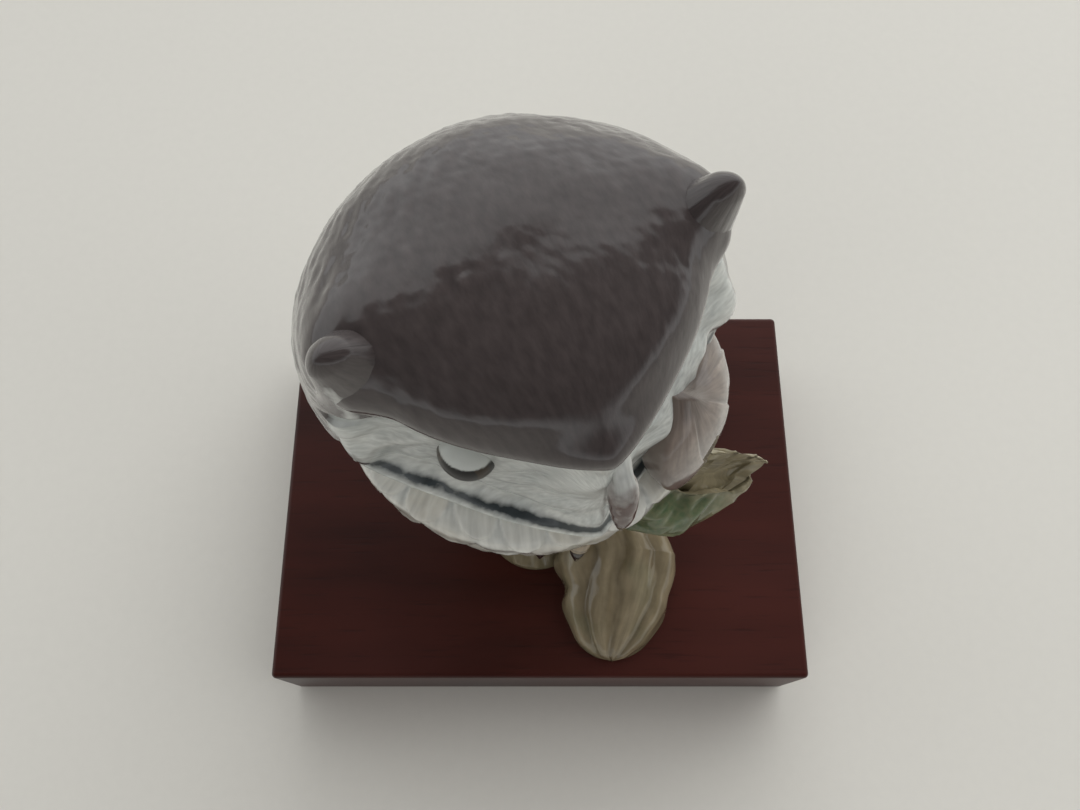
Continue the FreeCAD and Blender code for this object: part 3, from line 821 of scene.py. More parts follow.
def build_stump(sizes):
    """The stump: an upright profile turned round its axis, flared at the foot with four roots as a
    cosine of four turns, pushed out and in by upright ridges of bark. Its top carries growth
    rings, which are a sine of the radius."""
    rings, around = 200, 320
    wall, rim, top = int(rings * 0.78), 28.6, 29.0
    high = np.concatenate([np.linspace(0, rim, wall), np.full(rings - wall, top)])
    wide = np.interp(high, (0, 2, 5, 9, 16, 24, rim), (18.0, 16.8, 15.4, 14.5, 14.3, 15.0, 15.4))
    wide[wall:] = np.linspace(15.0, 0.4, rings - wall)
    bearing = full_turn(around)[None, :]
    high, wide = high[:, None] + 0 * bearing, wide[:, None] + 0 * bearing
    side = (np.arange(rings) < wall).astype(float)[:, None]
    wide = wide * (1 + 0.10 * np.cos(4 * bearing + 0.6) * np.exp(-high / 5.0) * side)
    grid = xyz(wide * np.sin(bearing), -wide * np.cos(bearing), high)
    # Bark ridges are about six times as long as they are wide, and lean a little.
    leaning = bearing + high * 0.012
    twisted = xyz(np.sin(leaning) * 15, np.cos(leaning) * 15, high * 0.17)
    bark = ridged(twisted, 7.5, 81)
    fine = rolling(twisted * (1, 1, 2.5), 2.2, 82, 2)
    growth = np.sin(wide * 2 * np.pi / 1.6 + rolling(grid, 9.0, 83, 2))
    height = side * (sizes.bark_depth * (bark - 0.55) + 0.16 * fine) * smoothstep(29, 27, high)
    height = height + (1 - side) * 0.12 * growth
    fade = smoothstep(0.0, 0.6, high) + (1 - side)
    moss = rolling(grid, 14.0, 84, 2) + 0.7 * smoothstep(12, 2, high)
    grid = raised(grid, height * np.clip(fade, 0, 1))
    grid[..., 2] = np.clip(grid[..., 2], 0.0, 29.2) + DECK
    grid[..., :2] += STUMP_AXIS[:2]
    return make_tube(
        "stump",
        grid,
        PORCELAIN,
        "stump_glaze",
        ("stump_casting",),
        # Painted shade in the bark's furrows and painted highlights on its ridges.
        hollow=np.clip(0.75 - bark, 0, 1) * side,
        crest=np.clip(bark * 1.3 - 0.5, 0, 1) * side,
        moss=smoothstep(0.1, 0.9, moss) * side,
        stroke_x=bearing * 15,
        stroke_y=high,
    )


def build_front_root(sizes):
    """The front root: half ellipses side by side from the stump out over the plinth. Their half
    width and height follow listed stations and close as a quarter circle at the end. Furrows are
    |sine| of the place across, which bends with the place along."""
    rings, around = 200, 240
    share = np.linspace(0, 1, rings)[:, None]
    angle = full_turn(around)[None, :]
    bend = np.clip((share - 0.5) / 0.5, 0, 1) * np.pi / 2
    y = np.where(share < 0.5, -4.5 - 31.0 * share, -20.0 - 10.4 * np.sin(bend))
    close = np.cos(bend)
    # From the root's tip to inside the stump, in millimetres from the plinth's middle.
    stations = (-30.4, -28.6, -22.8, -17.2, -13.4, -10.5, -7.5, -4.5)
    middle = np.interp(y, stations, (12.0, 12.3, 12.7, 13.2, 13.5, 12.6, 10.8, 8.6))
    wide = np.interp(y, stations, (8.6, 8.6, 8.8, 9.6, 10.0, 9.3, 7.6, 5.2)) * close + 0.05
    tall = np.interp(y, stations, (6.0, 6.2, 7.4, 8.4, 9.2, 9.6, 9.8, 9.6)) * close**0.7 + 0.05
    chord = np.cos(angle)
    arch = np.clip(np.sin(angle), 0, 1) ** 0.75
    # Its left edge swells where it leaves the stump and is drawn in just past that.
    swell = 0.10 * bell(y + 14.0, 2.6) - 0.05 * bell(y + 18.5, 2.0)
    lobe = 1 + np.where(chord < 0, swell, 0.0) + 0.025 * np.sin(y * 0.9 + 4 * chord)
    grid = xyz(middle + wide * chord * lobe, y, tall * arch)
    flow = chord * 2.0 + 1.3 * share * share - 0.7 * share
    wander = 0.28 * rolling(grid, 11.0, 91, 2)
    furrow = np.abs(np.sin((flow + wander) * np.pi * 0.9))
    small = rolling(xyz(flow * 4, share * 4, 0 * flow), 2.4, 92, 2)
    height = sizes.bark_depth * 0.45 * close * (furrow - 0.62) + 0.12 * small
    height = (height + 0.3 * rolling(grid, 6.5, 93, 2)) * smoothstep(0.0, 0.45, arch)
    grid = raised(grid, height)
    grid[..., 2] = np.clip(grid[..., 2], 0.0, None) + DECK
    return make_tube(
        "front_root_lobe",
        grid,
        PORCELAIN,
        "stump_glaze",
        ("front_root",),
        # Painted shade in the root's furrows and painted highlights on its ridges.
        hollow=np.clip(0.75 - furrow, 0, 1) * smoothstep(0.1, 0.5, arch),
        crest=smoothstep(0.72, 1.0, furrow) * smoothstep(0.2, 0.7, arch),
        moss=smoothstep(0.0, 0.9, rolling(grid, 10.0, 94, 2) + 0.55 * (1 - arch)),
        stroke_x=flow * 5,
        stroke_y=share * 27,
    )


def build_side_branch(sizes):
    """The broken side branch: a round section on a line up and out from the stump, then over a
    slanting, jagged lip and back down inside, so that the end is hollow. The lip's slant is a
    cosine of one turn, and its teeth are sines of three and seven."""
    rings, around = 210, 200
    outside, lip, floor = int(rings * 0.72), 0.995, 0.88
    angle = full_turn(around)[None, :]
    outward = spread((1, 1, 1.2, 1.4), outside)
    along = np.concatenate([outward, np.linspace(lip, floor, rings - outside)])[:, None]
    inside = (np.arange(rings) >= outside)[:, None]
    knots = ((4.5, -2.0, 15.0), (12.5, -5.4, 21.2), (19.2, -7.8, 27.6), (24.2, -7.8, 33.0))
    knots = np.array(knots) + (0, 0, DECK)
    # The back reaches on to the tip, and the front stops short.
    reach = smoothstep(0.45, 1.0, along)
    back_first = np.cos(angle - np.radians(128))
    middle, across, over = path_frames(knots, along + 0 * angle, (0, -1, 0))
    tangent = np.cross(across, over)
    tangent = tangent * np.sign(tangent[..., 2].mean())
    teeth = 0.8 * np.sin(3 * angle + 1) + 0.4 * np.sin(7 * angle)
    slant = (1.6 + 5.2 * back_first + teeth) * reach
    size = curve((6.0, 6.4, 6.6, 6.4, 4.4), along)
    size = np.where(inside, size - 1.9 * smoothstep(1.0, 0.93, along) - 0.25, size)
    squash = 1 + 0.10 * np.cos(2 * (angle - 0.6)) - 0.10 * back_first * reach
    pinch = 1 - 0.45 * smoothstep(0.6, 1.0, along)
    form = middle + across * (np.cos(angle) * size * squash * pinch)[..., None]
    form = form + over * (np.sin(angle) * size * squash)[..., None]
    form = form + tangent * slant[..., None]
    twisted = xyz(np.sin(angle) * 7, np.cos(angle) * 7, along * 6)
    bark = ridged(twisted, 6.0, 101)
    fold = bell(angle - 0.2 - 0.8 * along, 0.30) * reach
    height = (sizes.bark_depth * 0.8 * (bark - 0.55) + 0.9 * fold) * np.where(inside, -0.4, 1.0)
    grid = raised(form, height * smoothstep(0, 0.1, along), form[:outside].mean((0, 1)))
    return make_tube(
        "side_branch_stub",
        grid,
        PORCELAIN,
        "branch_glaze",
        ("side_branch",),
        # Painted shade in the bark's furrows, fainter inside the broken end, and painted highlights on
        # the bark's ridges; the beige broken lip is the wood's own colour.
        hollow=np.clip(0.6 - bark, 0, 1) * (1 - 0.6 * inside),
        crest=np.clip(bark - 0.6 + bell(along - 0.98, 0.05), 0, 1),
        moss=np.clip((0.55 - back_first) * smoothstep(0.1, 0.5, along) * (1 - inside), 0, 1),
        stroke_x=angle * 6,
        stroke_y=along * 30,
    )


# ---------------------------------------------------------------------------------------------
# Materials
# ---------------------------------------------------------------------------------------------


def linear(hex_colour):
    """An sRGB colour such as "#4a4646" as linear red, green, blue and alpha."""
    parts = [int(hex_colour[k : k + 2], 16) / 255 for k in (1, 3, 5)]
    return [v / 12.92 if v <= 0.04045 else ((v + 0.055) / 1.055) ** 2.4 for v in parts] + [1.0]


def add(tree, kind, settings=None, **links):
    """Add a node to a tree, with its settings, and link or set its inputs. An input is named by its
    own name, with _ for a space, or by its place, as in i0."""
    item = tree.nodes.new(kind)
    for key, value in (settings or {}).items():
        setattr(item, key, value)
    for key, value in links.items():
        place = int(key[1:]) if key[0] == "i" and key[1:].isdigit() else key.replace("_", " ")
        socket = item.inputs[place]
        if isinstance(value, bpy.types.NodeSocket):
            tree.links.new(value, socket)
        else:
            socket.default_value = value
    return item


def new_material(title):
    """An empty node material."""
    material = bpy.data.materials.new(title)
    material.use_nodes = True
    material.node_tree.nodes.clear()
    return material, material.node_tree


def glaze(title, ground, mottle, layers, stroke, relief, roughness=0.09):
    """Slip-cast porcelain, painted by hand and airbrush, under a clear glossy glaze.

    ground and mottle are the two colours of the unpainted body, mixed in soft 5 mm blotches. Each
    layer is a paint attribute, its colour and its strength, broken up by 0.9 mm speckle as an
    airbrush leaves it. stroke is the width and length in millimetres of brush strokes that follow
    the piece, and relief how deep they and the glaze's unevenness are, in millimetres."""
    # Light from the colours comes up matt through the glaze, which alone mirrors the room, so the
    # body under it keeps hardly any shine of its own.
    material, tree = new_material(title)
    place = add(tree, "ShaderNodeTexCoord").outputs["Object"]
    blotch = add(tree, "ShaderNodeTexNoise", Vector=place, Scale=1 / (5 * MM), Detail=3.0)
    speckle = add(tree, "ShaderNodeTexNoise", Vector=place, Scale=1 / (0.9 * MM), Detail=2.0)
    across = add(tree, "ShaderNodeAttribute", {"attribute_name": "stroke_x"}).outputs["Fac"]
    along = add(tree, "ShaderNodeAttribute", {"attribute_name": "stroke_y"}).outputs["Fac"]
    across = add(tree, "ShaderNodeMath", {"operation": "DIVIDE"}, i0=across, i1=stroke[0])
    along = add(tree, "ShaderNodeMath", {"operation": "DIVIDE"}, i0=along, i1=stroke[1])
    flow = add(tree, "ShaderNodeCombineXYZ", X=across.outputs[0], Y=along.outputs[0])
    brush = add(tree, "ShaderNodeTexNoise", Vector=flow.outputs[0], Scale=1.0, Detail=2.0)

    soft = add(
        tree, "ShaderNodeMapRange", Value=blotch.outputs["Fac"], From_Min=0.35, From_Max=0.65
    )
    colour = add(
        tree,
        "ShaderNodeMix",
        {"data_type": "RGBA"},
        i0=soft.outputs[0],
        i6=linear(ground),
        i7=linear(mottle),
    ).outputs[2]
    breakup = add(
        tree,
        "ShaderNodeMapRange",
        Value=speckle.outputs["Fac"],
        From_Min=0.3,
        From_Max=0.7,
        To_Min=0.72,
        To_Max=1.12,
    ).outputs[0]
    for attribute, paint, strength in layers:
        amount = add(tree, "ShaderNodeAttribute", {"attribute_name": attribute}).outputs["Fac"]
        amount = add(tree, "ShaderNodeMath", {"operation": "MULTIPLY"}, i0=amount, i1=breakup)
        amount = add(
            tree,
            "ShaderNodeMath",
            {"operation": "MULTIPLY", "use_clamp": True},
            i0=amount.outputs[0],
            i1=strength,
        )
        colour = add(
            tree,
            "ShaderNodeMix",
            {"data_type": "RGBA"},
            i0=amount.outputs[0],
            i6=colour,
            i7=linear(paint),
        ).outputs[2]
    shade = add(
        tree,
        "ShaderNodeMapRange",
        Value=brush.outputs["Fac"],
        From_Min=0.3,
        From_Max=0.7,
        To_Min=0.80,
        To_Max=1.14,
    )
    colour = add(
        tree,
        "ShaderNodeVectorMath",
        {"operation": "SCALE"},
        i0=colour,
        Scale=shade.outputs[0],
    ).outputs[0]
    bump = add(
        tree,
        "ShaderNodeBump",
        Strength=1.0,
        Distance=relief * MM,
        Height=brush.outputs["Fac"],
    )
    ripple = add(
        tree,
        "ShaderNodeBump",
        Strength=0.2,
        Distance=relief * MM,
        Height=brush.outputs["Fac"],
    )
    gloss = add(
        tree,
        "ShaderNodeMapRange",
        Value=blotch.outputs["Fac"],
        To_Min=roughness * 0.7 + 0.25,
        To_Max=roughness * 1.6 + 0.30,
    )
    shader = add(
        tree,
        "ShaderNodeBsdfPrincipled",
        Base_Color=colour,
        Roughness=gloss.outputs[0],
        IOR=1.5,
        Specular_IOR_Level=0.1,
        Normal=bump.outputs[0],
        Coat_Weight=1.0,
        Coat_Roughness=roughness,
        Coat_IOR=1.5,
        Coat_Normal=ripple.outputs[0],
    )
    add(tree, "ShaderNodeOutputMaterial", Surface=shader.outputs[0])
    return material


def lacquered_mahogany(colours):
    """Mahogany, sawn, stained dark and lacquered: long dark pores a third of a millimetre wide,
    drawn at 0.5 mm so that they show, over bands of red-brown growth about 6 mm wide, under a
    satin film that rounds off the grain."""
    material, tree = new_material("Mahogany, stained dark and satin lacquered")
    place = add(tree, "ShaderNodeTexCoord").outputs["Object"]
    long_way = add(tree, "ShaderNodeMapping", Vector=place, Scale=(0.16, 1.0, 1.0))
    bands = add(
        tree, "ShaderNodeTexNoise", Vector=long_way.outputs[0], Scale=1 / (6 * MM), Detail=4.0
    )
    pore_way = add(tree, "ShaderNodeMapping", Vector=place, Scale=(0.06, 1.0, 1.0))
    pores = add(
        tree, "ShaderNodeTexNoise", Vector=pore_way.outputs[0], Scale=1 / (0.5 * MM), Detail=2.0
    )
    cloud = add(tree, "ShaderNodeTexNoise", Vector=place, Scale=1 / (40 * MM), Detail=1.0)
    band = add(
        tree, "ShaderNodeMapRange", Value=bands.outputs["Fac"], From_Min=0.3, From_Max=0.7
    )
    colour = add(
        tree,
        "ShaderNodeMix",
        {"data_type": "RGBA"},
        i0=band.outputs[0],
        i6=list(colours.wood_dark),
        i7=list(colours.wood_light),
    ).outputs[2]
    red = add(
        tree,
        "ShaderNodeMapRange",
        Value=cloud.outputs["Fac"],
        From_Min=0.4,
        From_Max=0.65,
        To_Max=0.5,
    )
    colour = add(
        tree,
        "ShaderNodeMix",
        {"data_type": "RGBA"},
        i0=red.outputs[0],
        i6=colour,
        i7=linear("#4a221c"),
    ).outputs[2]
    pore = add(
        tree,
        "ShaderNodeMapRange",
        Value=pores.outputs["Fac"],
        From_Min=0.58,
        From_Max=0.74,
        To_Max=0.35,
    )
    colour = add(
        tree,
        "ShaderNodeMix",
        {"data_type": "RGBA"},
        i0=pore.outputs[0],
        i6=colour,
        i7=linear("#120a09"),
    ).outputs[2]
    dent = add(
        tree,
        "ShaderNodeBump",
        {"invert": True},
        Strength=0.5,
        Distance=0.05 * MM,
        Height=pore.outputs[0],
    )
    rub = add(
        tree,
        "ShaderNodeMapRange",
        Value=cloud.outputs["Fac"],
        To_Min=0.30,
        To_Max=0.52,
    )
    shader = add(
        tree,
        "ShaderNodeBsdfPrincipled",
        Base_Color=colour,
        Roughness=rub.outputs[0],
        IOR=1.5,
        Normal=dent.outputs[0],
        Specular_IOR_Level=0.22,
        Coat_Weight=0.12,
        Coat_Roughness=0.3,
        Coat_IOR=1.5,
    )
    add(tree, "ShaderNodeOutputMaterial", Surface=shader.outputs[0])
    return material


def green_baize():
    """Baize, woven and felted: a dull green nap of 0.4 mm tufts, with thin patches where the weave
    shows through."""
    material, tree = new_material("Baize, woven wool, felted")
    place = add(tree, "ShaderNodeTexCoord").outputs["Object"]
    nap = add(tree, "ShaderNodeTexNoise", Vector=place, Scale=1 / (0.4 * MM), Detail=3.0)
    worn = add(tree, "ShaderNodeTexNoise", Vector=place, Scale=1 / (9 * MM), Detail=2.0)
    mixed = add(
        tree, "ShaderNodeMath", {"operation": "MULTIPLY"}, i0=nap.outputs["Fac"], i1=worn.outputs["Fac"]
    )
    share = add(
        tree, "ShaderNodeMapRange", Value=mixed.outputs[0], From_Min=0.12, From_Max=0.42
    )
    colour = add(
        tree,
        "ShaderNodeMix",
        {"data_type": "RGBA"},
        i0=share.outputs[0],
        i6=linear("#16241a"),
        i7=linear("#2f4a35"),
    )
    fuzz = add(tree, "ShaderNodeBump", Strength=0.8, Distance=0.2 * MM, Height=nap.outputs["Fac"])
    shader = add(
        tree,
        "ShaderNodeBsdfPrincipled",
        Base_Color=colour.outputs[2],
        Roughness=0.95,
        IOR=1.45,
        Normal=fuzz.outputs[0],
        Sheen_Weight=0.4,
        Sheen_Roughness=0.5,
    )
    add(tree, "ShaderNodeOutputMaterial", Surface=shader.outputs[0])
    return material


def matt_table(colours):
    """A painted table top: almost flat pale paint, with a faint roller stipple 2 mm apart."""
    material, tree = new_material("Paint, rolled, matt, pale grey")
    place = add(tree, "ShaderNodeTexCoord").outputs["Object"]
    stipple = add(tree, "ShaderNodeTexNoise", Vector=place, Scale=1 / (2 * MM), Detail=2.0)
    tint = add(
        tree,
        "ShaderNodeMix",
        {"data_type": "RGBA"},
        i0=stipple.outputs["Fac"],
        i6=list(colours.table),
        i7=[value * 0.96 for value in colours.table[:3]] + [1.0],
    )
    skin = add(
        tree, "ShaderNodeBump", Strength=0.1, Distance=0.1 * MM, Height=stipple.outputs["Fac"]
    )
    shader = add(
        tree,
        "ShaderNodeBsdfPrincipled",
        Base_Color=tint.outputs[2],
        Roughness=0.6,
        IOR=1.45,
        Normal=skin.outputs[0],
    )
    add(tree, "ShaderNodeOutputMaterial", Surface=shader.outputs[0])
    return material


def paint_with(pieces, material):
    """Give every piece this one material."""
    for piece in pieces:
        piece.data.materials.clear()
        piece.data.materials.append(material)


# ---------------------------------------------------------------------------------------------
# Sizes and colours
# ---------------------------------------------------------------------------------------------


class OWL_PG_sizes(bpy.types.PropertyGroup):
    """Sizes of the modelled relief, in millimetres."""

    crown_feather: FloatProperty(
        name="Crown feather", description="Length of a crown feather that shows, in mm", default=2.5
    )
    breast_feather: FloatProperty(
        name="Breast feather", description="Length of a breast feather that shows, in mm", default=4.7
    )
    breast_lift: FloatProperty(
        name="Breast lift", description="Height of a breast feather's tip, in mm", default=0.85
    )
    wing_lift: FloatProperty(
        name="Wing lift", description="Height of a wing feather's tip, in mm", default=0.85
    )
    bark_depth: FloatProperty(
        name="Bark depth", description="Depth of the bark's furrows, in mm", default=1.3
    )


def colour_property(name, description, hex_colour):
    """A colour that a user can change, with an sRGB hex default."""
    return FloatVectorProperty(
        name=name,
        description=description,
        subtype="COLOR",
        size=4,
        min=0.0,
        max=1.0,
        default=linear(hex_colour),
    )


class OWL_PG_colours(bpy.types.PropertyGroup):
    """Colours of the wood and the table, and the strength of the light."""

    wood_dark: colour_property("Dark wood", "Mahogany between the growth bands", "#2a0e09")
    wood_light: colour_property("Light wood", "Mahogany in the growth bands", "#3b160f")
    table: colour_property("Table", "Paint of the table top", "#dcdad2")
    key_light: FloatProperty(
        name="Key light", description="Power of the large lamp behind", default=9.0, subtype="POWER"
    )


# ---------------------------------------------------------------------------------------------
# Operators
# ---------------------------------------------------------------------------------------------


def settings(context):
    """The sizes and the colours of this scene."""
    return context.scene.owl_sizes, context.scene.owl_colours


class OWL_OT_plinth(bpy.types.Operator):
    """Give the plinth's wood and baize their materials"""

    bl_idname = "owl.plinth"
    bl_label = "Plinth"

    def execute(self, context):
        colours = settings(context)[1]
        paint_with([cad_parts["plinth_board"]], lacquered_mahogany(colours))
        paint_with([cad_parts["plinth_felt"]], green_baize())
        return {"FINISHED"}


class OWL_OT_tree(bpy.types.Operator):
    """Build the stump, its front root and its broken branch"""

    bl_idname = "owl.tree"
    bl_label = "Stump, root and branch"

    def execute(self, context):
        sizes = settings(context)[0]
        # Bark in broken browns, with painted shade in its furrows and painted highlights on its ridges,
        # and moss washed up from the plinth.
        bark = glaze(
            "Porcelain, slip-cast, bark painted by hand, clear-glazed",
            "#8a7e65",
            "#766a52",
            (
                ("moss", "#66694e", 0.45),
                ("crest", "#a3977d", 0.35),
                ("hollow", "#4a4232", 0.55),
            ),
            stroke=(1.1, 6.0),
            relief=0.10,
        )
        paint_with([build_stump(sizes), build_front_root(sizes)], bark)
        # Greener than the stump, with a beige broken edge round a dark hollow, painted shade in the
        # bark's furrows, fainter inside the end, and painted highlights on the bark's ridges.
        broken = glaze(
            "Porcelain, slip-cast, broken bark painted by hand, clear-glazed",
            "#9a9072",
            "#81775d",
            (
                ("moss", "#4f6848", 0.85),
                ("crest", "#a9a188", 0.6),
                ("hollow", "#4a4233", 0.65),
            ),
            stroke=(1.1, 6.0),
            relief=0.10,
        )
        paint_with([build_side_branch(sizes)], broken)
        return {"FINISHED"}


class OWL_OT_body(bpy.types.Operator):
    """Build the torso with its rows of breast feathers"""

    bl_idname = "owl.body"
    bl_label = "Torso"

    def execute(self, context):
        # White body, cream at the feathers' tips, painted grey shade between them, and painted
        # highlights along their rims.
        plumage = glaze(
            "Porcelain, slip-cast, breast tinted by airbrush, clear-glazed",
            "#dcded8",
            "#cacdc8",
            (
                ("buff", "#c2b8a3", 0.55),
                ("under", "#8d8471", 0.6),
                ("back", "#6f655e", 0.85),
                ("crest", "#d4d6d0", 0.35),
                ("hollow", "#6d7474", 0.45),
            ),
            stroke=(0.9, 5.0),
            relief=0.06,
        )
        paint_with([build_torso(settings(context)[0])], plumage)
        return {"FINISHED"}


class OWL_OT_wings(bpy.types.Operator):
    """Build both folded wings and the tail"""

    bl_idname = "owl.wings"
    bl_label = "Wings and tail"

    def execute(self, context):
        sizes = settings(context)[0]
        # Brown-mauve, with painted highlights at each feather's rim, painted shade between the
        # feathers, and darker bars across the long quills.
        plumage = glaze(
            "Porcelain, slip-cast, wing tinted by airbrush, clear-glazed",
            "#70645c",
            "#61554e",
            (
                ("buff", "#968a80", 0.45),
                ("bars", "#574b45", 0.6),
                ("shaft", "#453b36", 0.6),
                ("crest", "#b5aba0", 0.45),
                ("hollow", "#3f3835", 0.8),
            ),
            stroke=(0.8, 6.0),
            relief=0.04,
        )
        paint_with([*build_wings(sizes), build_tail()], plumage)
        return {"FINISHED"}


class OWL_OT_head(bpy.types.Operator):
    """Build the head and both ear tufts"""

    bl_idname = "owl.head"
    bl_label = "Head and ear tufts"

    def execute(self, context):
        sizes = settings(context)[0]
        # Grey-brown cap over a white face, with a dark line round the disc that also stands for its
        # shadow, painted grey shade in the eye sockets, painted shade in the crown's grooves and the
        # face's dish, and painted highlights on the crown's ridges.
        plumage = glaze(
            "Porcelain, slip-cast, cap tinted by airbrush, clear-glazed",
            "#d2d5cf",
            "#bcc1bd",
            (
                ("brow_edge", "#eef0ea", 1.0),
                ("disc_line", "#2b3437", 1.7),
                ("socket", "#6f7573", 0.75),
                ("cap", "#3f3837", 1.6),
                ("crest", "#6a6260", 0.22),
                ("hollow", "#3a3434", 0.6),
            ),
            stroke=(0.6, 1.8),
            relief=0.06,
            roughness=0.12,
        )
        paint_with([build_head(sizes), *build_tufts()], plumage)
        return {"FINISHED"}


class OWL_OT_face(bpy.types.Operator):
    """Build the eyes and the beak"""

    bl_idname = "owl.face"
    bl_label = "Eyes and beak"

    def execute(self, context):
        # Off-white at the root, horn-brown towards the tip, with a painted highlight down the owl's
        # left side and painted shade in the nostrils and at the root.
        horn = glaze(
            "Porcelain, slip-cast, beak painted by hand, clear-glazed",
            "#c6c8c2",
            "#b2b4b0",
            (("horn", "#4e3934", 1.1), ("pale", "#cfc9c1", 0.6), ("hollow", "#5a504c", 0.5)),
            stroke=(0.8, 4.0),
            relief=0.05,
        )
        paint_with([build_beak()], horn)
        paint_with(build_eyes(), painted_eye())
        return {"FINISHED"}


class OWL_OT_feet(bpy.types.Operator):
    """Build both feet"""

    bl_idname = "owl.feet"
    bl_label = "Feet"

    def execute(self, context):
        # Buff toes with painted shade in their creases, and black-brown talons.
        scales = glaze(
            "Porcelain, slip-cast, feet painted by hand, clear-glazed",
            "#a3957f",
            "#8f816c",
            (("hollow", "#5d5142", 0.7), ("talon", "#2c2522", 1.3)),
            stroke=(0.8, 2.5),
            relief=0.05,
        )
        paint_with(build_feet(), scales)
        return {"FINISHED"}


def painted_eye():
    """Porcelain, painted by hand and clear-glazed: black pupil, dark brown iris with fine rays, and
    a black rim, each by how far a point is from the middle of the gaze, under a lid in the face's
    white. It looks dark and wet below the lid."""
    material, tree = new_material("Porcelain, slip-cast, eye painted by hand, clear-glazed")
    gaze = add(tree, "ShaderNodeAttribute", {"attribute_name": "gaze"}).outputs["Fac"]
    turn = add(tree, "ShaderNodeAttribute", {"attribute_name": "stroke_x"}).outputs["Fac"]
    ray_place = add(tree, "ShaderNodeCombineXYZ", X=turn, Y=gaze)
    rays = add(tree, "ShaderNodeTexNoise", Vector=ray_place.outputs[0], Scale=4.0, Detail=2.0)
    iris = add(
        tree,
        "ShaderNodeMix",
        {"data_type": "RGBA"},
        i0=rays.outputs["Fac"],
        i6=linear("#3a2c18"),
        i7=linear("#171009"),
    )
    pupil = add(tree, "ShaderNodeMapRange", Value=gaze, From_Min=0.44, From_Max=0.48)
    colour = add(
        tree,
        "ShaderNodeMix",
        {"data_type": "RGBA"},
        i0=pupil.outputs[0],
        i6=linear("#070606"),
        i7=iris.outputs[2],
    )
    rim = add(tree, "ShaderNodeMapRange", Value=gaze, From_Min=0.74, From_Max=0.80)
    colour = add(
        tree,
        "ShaderNodeMix",
        {"data_type": "RGBA"},
        i0=rim.outputs[0],
        i6=colour.outputs[2],
        i7=linear("#14100e"),
    )
    lid = add(tree, "ShaderNodeAttribute", {"attribute_name": "lid"}).outputs["Fac"]
    colour = add(
        tree,
        "ShaderNodeMix",
        {"data_type": "RGBA"},
        i0=lid,
        i6=colour.outputs[2],
        i7=linear("#c6cac5"),
    )
    shader = add(
        tree,
        "ShaderNodeBsdfPrincipled",
        Base_Color=colour.outputs[2],
        Roughness=0.3,
        IOR=1.5,
        Specular_IOR_Level=0.1,
        Coat_Weight=0.4,
        Coat_Roughness=0.03,
        Coat_IOR=1.5,
    )
    add(tree, "ShaderNodeOutputMaterial", Surface=shader.outputs[0])
    return material


def add_lamp(name, power, size, place, aim):
    """A square soft lamp that looks from one place to another, in metres. It lights but is not
    mirrored in the glaze, where only the room shows."""
    lamp = bpy.data.lights.new(name, "AREA")
    lamp.energy = power
    lamp.shape = "SQUARE"
    lamp.size = size
    item = bpy.data.objects.new(name, lamp)
    item.location = place
    way = Vector(aim) - Vector(place)
    item.rotation_euler = way.to_track_quat("-Z", "Y").to_euler()
    item.visible_glossy = False
    bpy.context.scene.collection.objects.link(item)
    return item


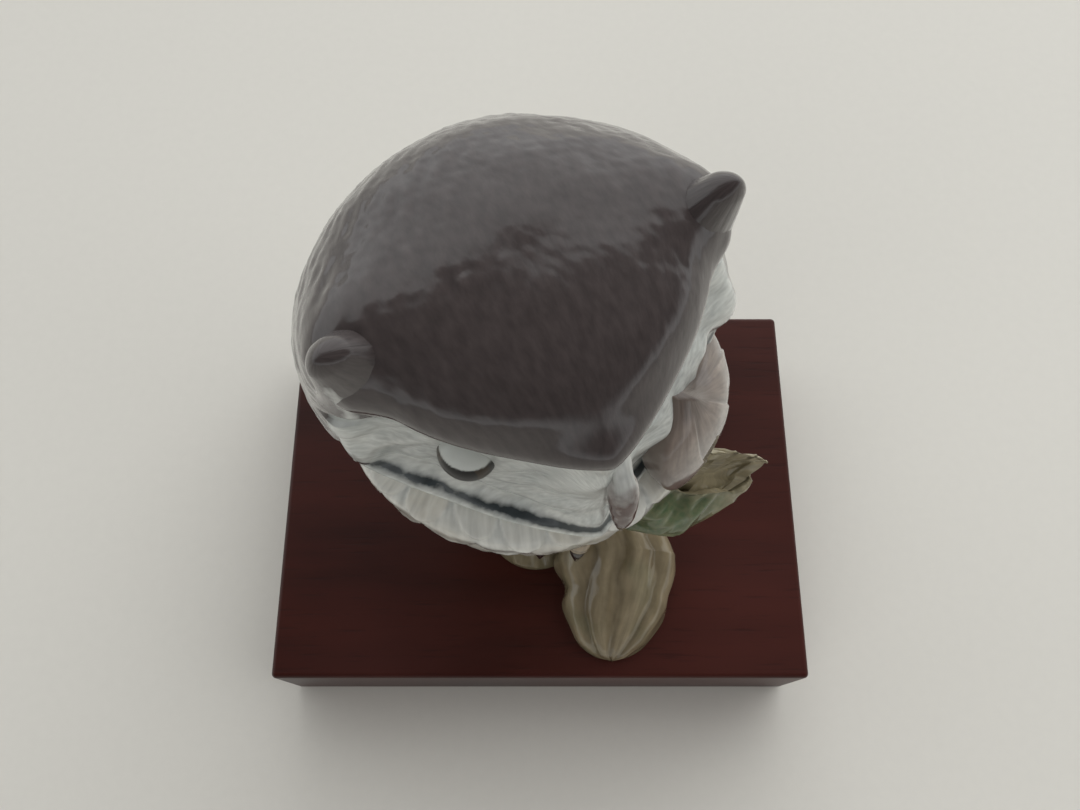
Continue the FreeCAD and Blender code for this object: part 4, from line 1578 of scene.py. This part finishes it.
class OWL_OT_stage(bpy.types.Operator):
    """Set up the table, the lamps, the room's light and the camera"""

    bl_idname = "owl.stage"
    bl_label = "Stage"

    def execute(self, context):
        colours = settings(context)[1]
        scene = context.scene
        half = 1.5  # metres
        corners = [(-half, -half, 0), (half, -half, 0), (half, half, 0), (-half, half, 0)]
        mesh = bpy.data.meshes.new("table")
        mesh.from_pydata(corners, [], [(0, 1, 2, 3)])
        table = bpy.data.objects.new("table", mesh)
        scene.collection.objects.link(table)
        paint_with([table], matt_table(colours))

        # A large window behind, up to the owl's left, and the ceiling and a wall that send some of
        # its light back.
        add_lamp("window_behind", colours.key_light, 1.6, (0.35, 0.75, 0.75), (0, 0, 0.08))
        add_lamp("ceiling_bounce", colours.key_light * 0.25, 0.8, (0.7, -0.1, 0.8), (0, 0, 0.06))
        add_lamp("wall_bounce", colours.key_light * 0.2, 0.8, (-0.5, -0.7, 0.6), (0, 0, 0.06))

        world = bpy.data.worlds.new("room")
        world.use_nodes = True
        world.node_tree.nodes.clear()
        tree = world.node_tree
        # A bright room behind, and a dimmer half overhead and in front, where whoever looks down
        # stands. The border between them is ragged, and a glossy crown mirrors it.
        way = add(tree, "ShaderNodeTexCoord").outputs["Generated"]
        patch = add(
            tree, "ShaderNodeVectorMath", {"operation": "DOT_PRODUCT"}, i0=way, i1=(0.2, -0.88, 0.40)
        )
        wave = add(tree, "ShaderNodeTexNoise", Vector=way, Scale=4.0, Detail=3.0)
        ragged = add(
            tree,
            "ShaderNodeMath",
            {"operation": "MULTIPLY_ADD"},
            i0=wave.outputs["Fac"],
            i1=0.4,
            i2=patch.outputs["Value"],
        )
        before = add(
            tree,
            "ShaderNodeMapRange",
            {"interpolation_type": "SMOOTHSTEP"},
            Value=ragged.outputs[0],
            From_Min=0.12,
            From_Max=0.30,
        )
        up = add(tree, "ShaderNodeSeparateXYZ", i0=way)
        above = add(
            tree,
            "ShaderNodeMapRange",
            {"interpolation_type": "SMOOTHSTEP"},
            Value=up.outputs["Z"],
            From_Min=-0.05,
            From_Max=0.25,
        )
        dim = add(
            tree,
            "ShaderNodeMath",
            {"operation": "MULTIPLY"},
            i0=before.outputs[0],
            i1=above.outputs[0],
        )
        tint = add(
            tree,
            "ShaderNodeMix",
            {"data_type": "RGBA"},
            i0=dim.outputs[0],
            i6=linear("#f2f4f4"),
            i7=linear("#5c5858"),
        )
        back = add(tree, "ShaderNodeBackground", Color=tint.outputs[2], Strength=1.15)
        add(tree, "ShaderNodeOutputWorld", Surface=back.outputs[0])
        scene.world = world
        scene.view_settings.view_transform = "Standard"

        # From close above, 69 degrees below level, through a slightly wide lens.
        camera = bpy.data.cameras.new("camera")
        camera.lens = 31.67
        camera.sensor_width = 36.0
        camera.clip_start = 0.005
        item = bpy.data.objects.new("camera", camera)
        item.location = (0.0, -0.0464, 0.1846)
        item.rotation_euler = (np.radians(20.6), 0.0, 0.0)
        scene.collection.objects.link(item)
        scene.camera = item
        return {"FINISHED"}


OPERATORS = (
    OWL_OT_plinth,
    OWL_OT_tree,
    OWL_OT_body,
    OWL_OT_wings,
    OWL_OT_head,
    OWL_OT_face,
    OWL_OT_feet,
    OWL_OT_stage,
)


class OWL_PT_panel(bpy.types.Panel):
    """Everything that builds the owl"""

    bl_idname = "OWL_PT_panel"
    bl_label = "Porcelain Owl"
    bl_space_type = "VIEW_3D"
    bl_region_type = "UI"
    bl_category = "Owl"

    def draw(self, context):
        for group in settings(context):
            for title in group.bl_rna.properties.keys():
                if title not in {"rna_type", "name"}:
                    self.layout.prop(group, title)
        for operator in OPERATORS:
            self.layout.operator(operator.bl_idname)


CLASSES = (OWL_PG_sizes, OWL_PG_colours, *OPERATORS, OWL_PT_panel)


def register():
    """Register every class, and the sizes and colours on the scene."""
    for item in CLASSES:
        bpy.utils.register_class(item)
    bpy.types.Scene.owl_sizes = PointerProperty(type=OWL_PG_sizes)
    bpy.types.Scene.owl_colours = PointerProperty(type=OWL_PG_colours)


def unregister():
    """Take back what register did."""
    del bpy.types.Scene.owl_colours
    del bpy.types.Scene.owl_sizes
    for item in reversed(CLASSES):
        bpy.utils.unregister_class(item)


def main():
    register()
    for operator in OPERATORS:
        group, name = operator.bl_idname.split(".")
        getattr(getattr(bpy.ops, group), name)()


if __name__ == "__main__":
    main()
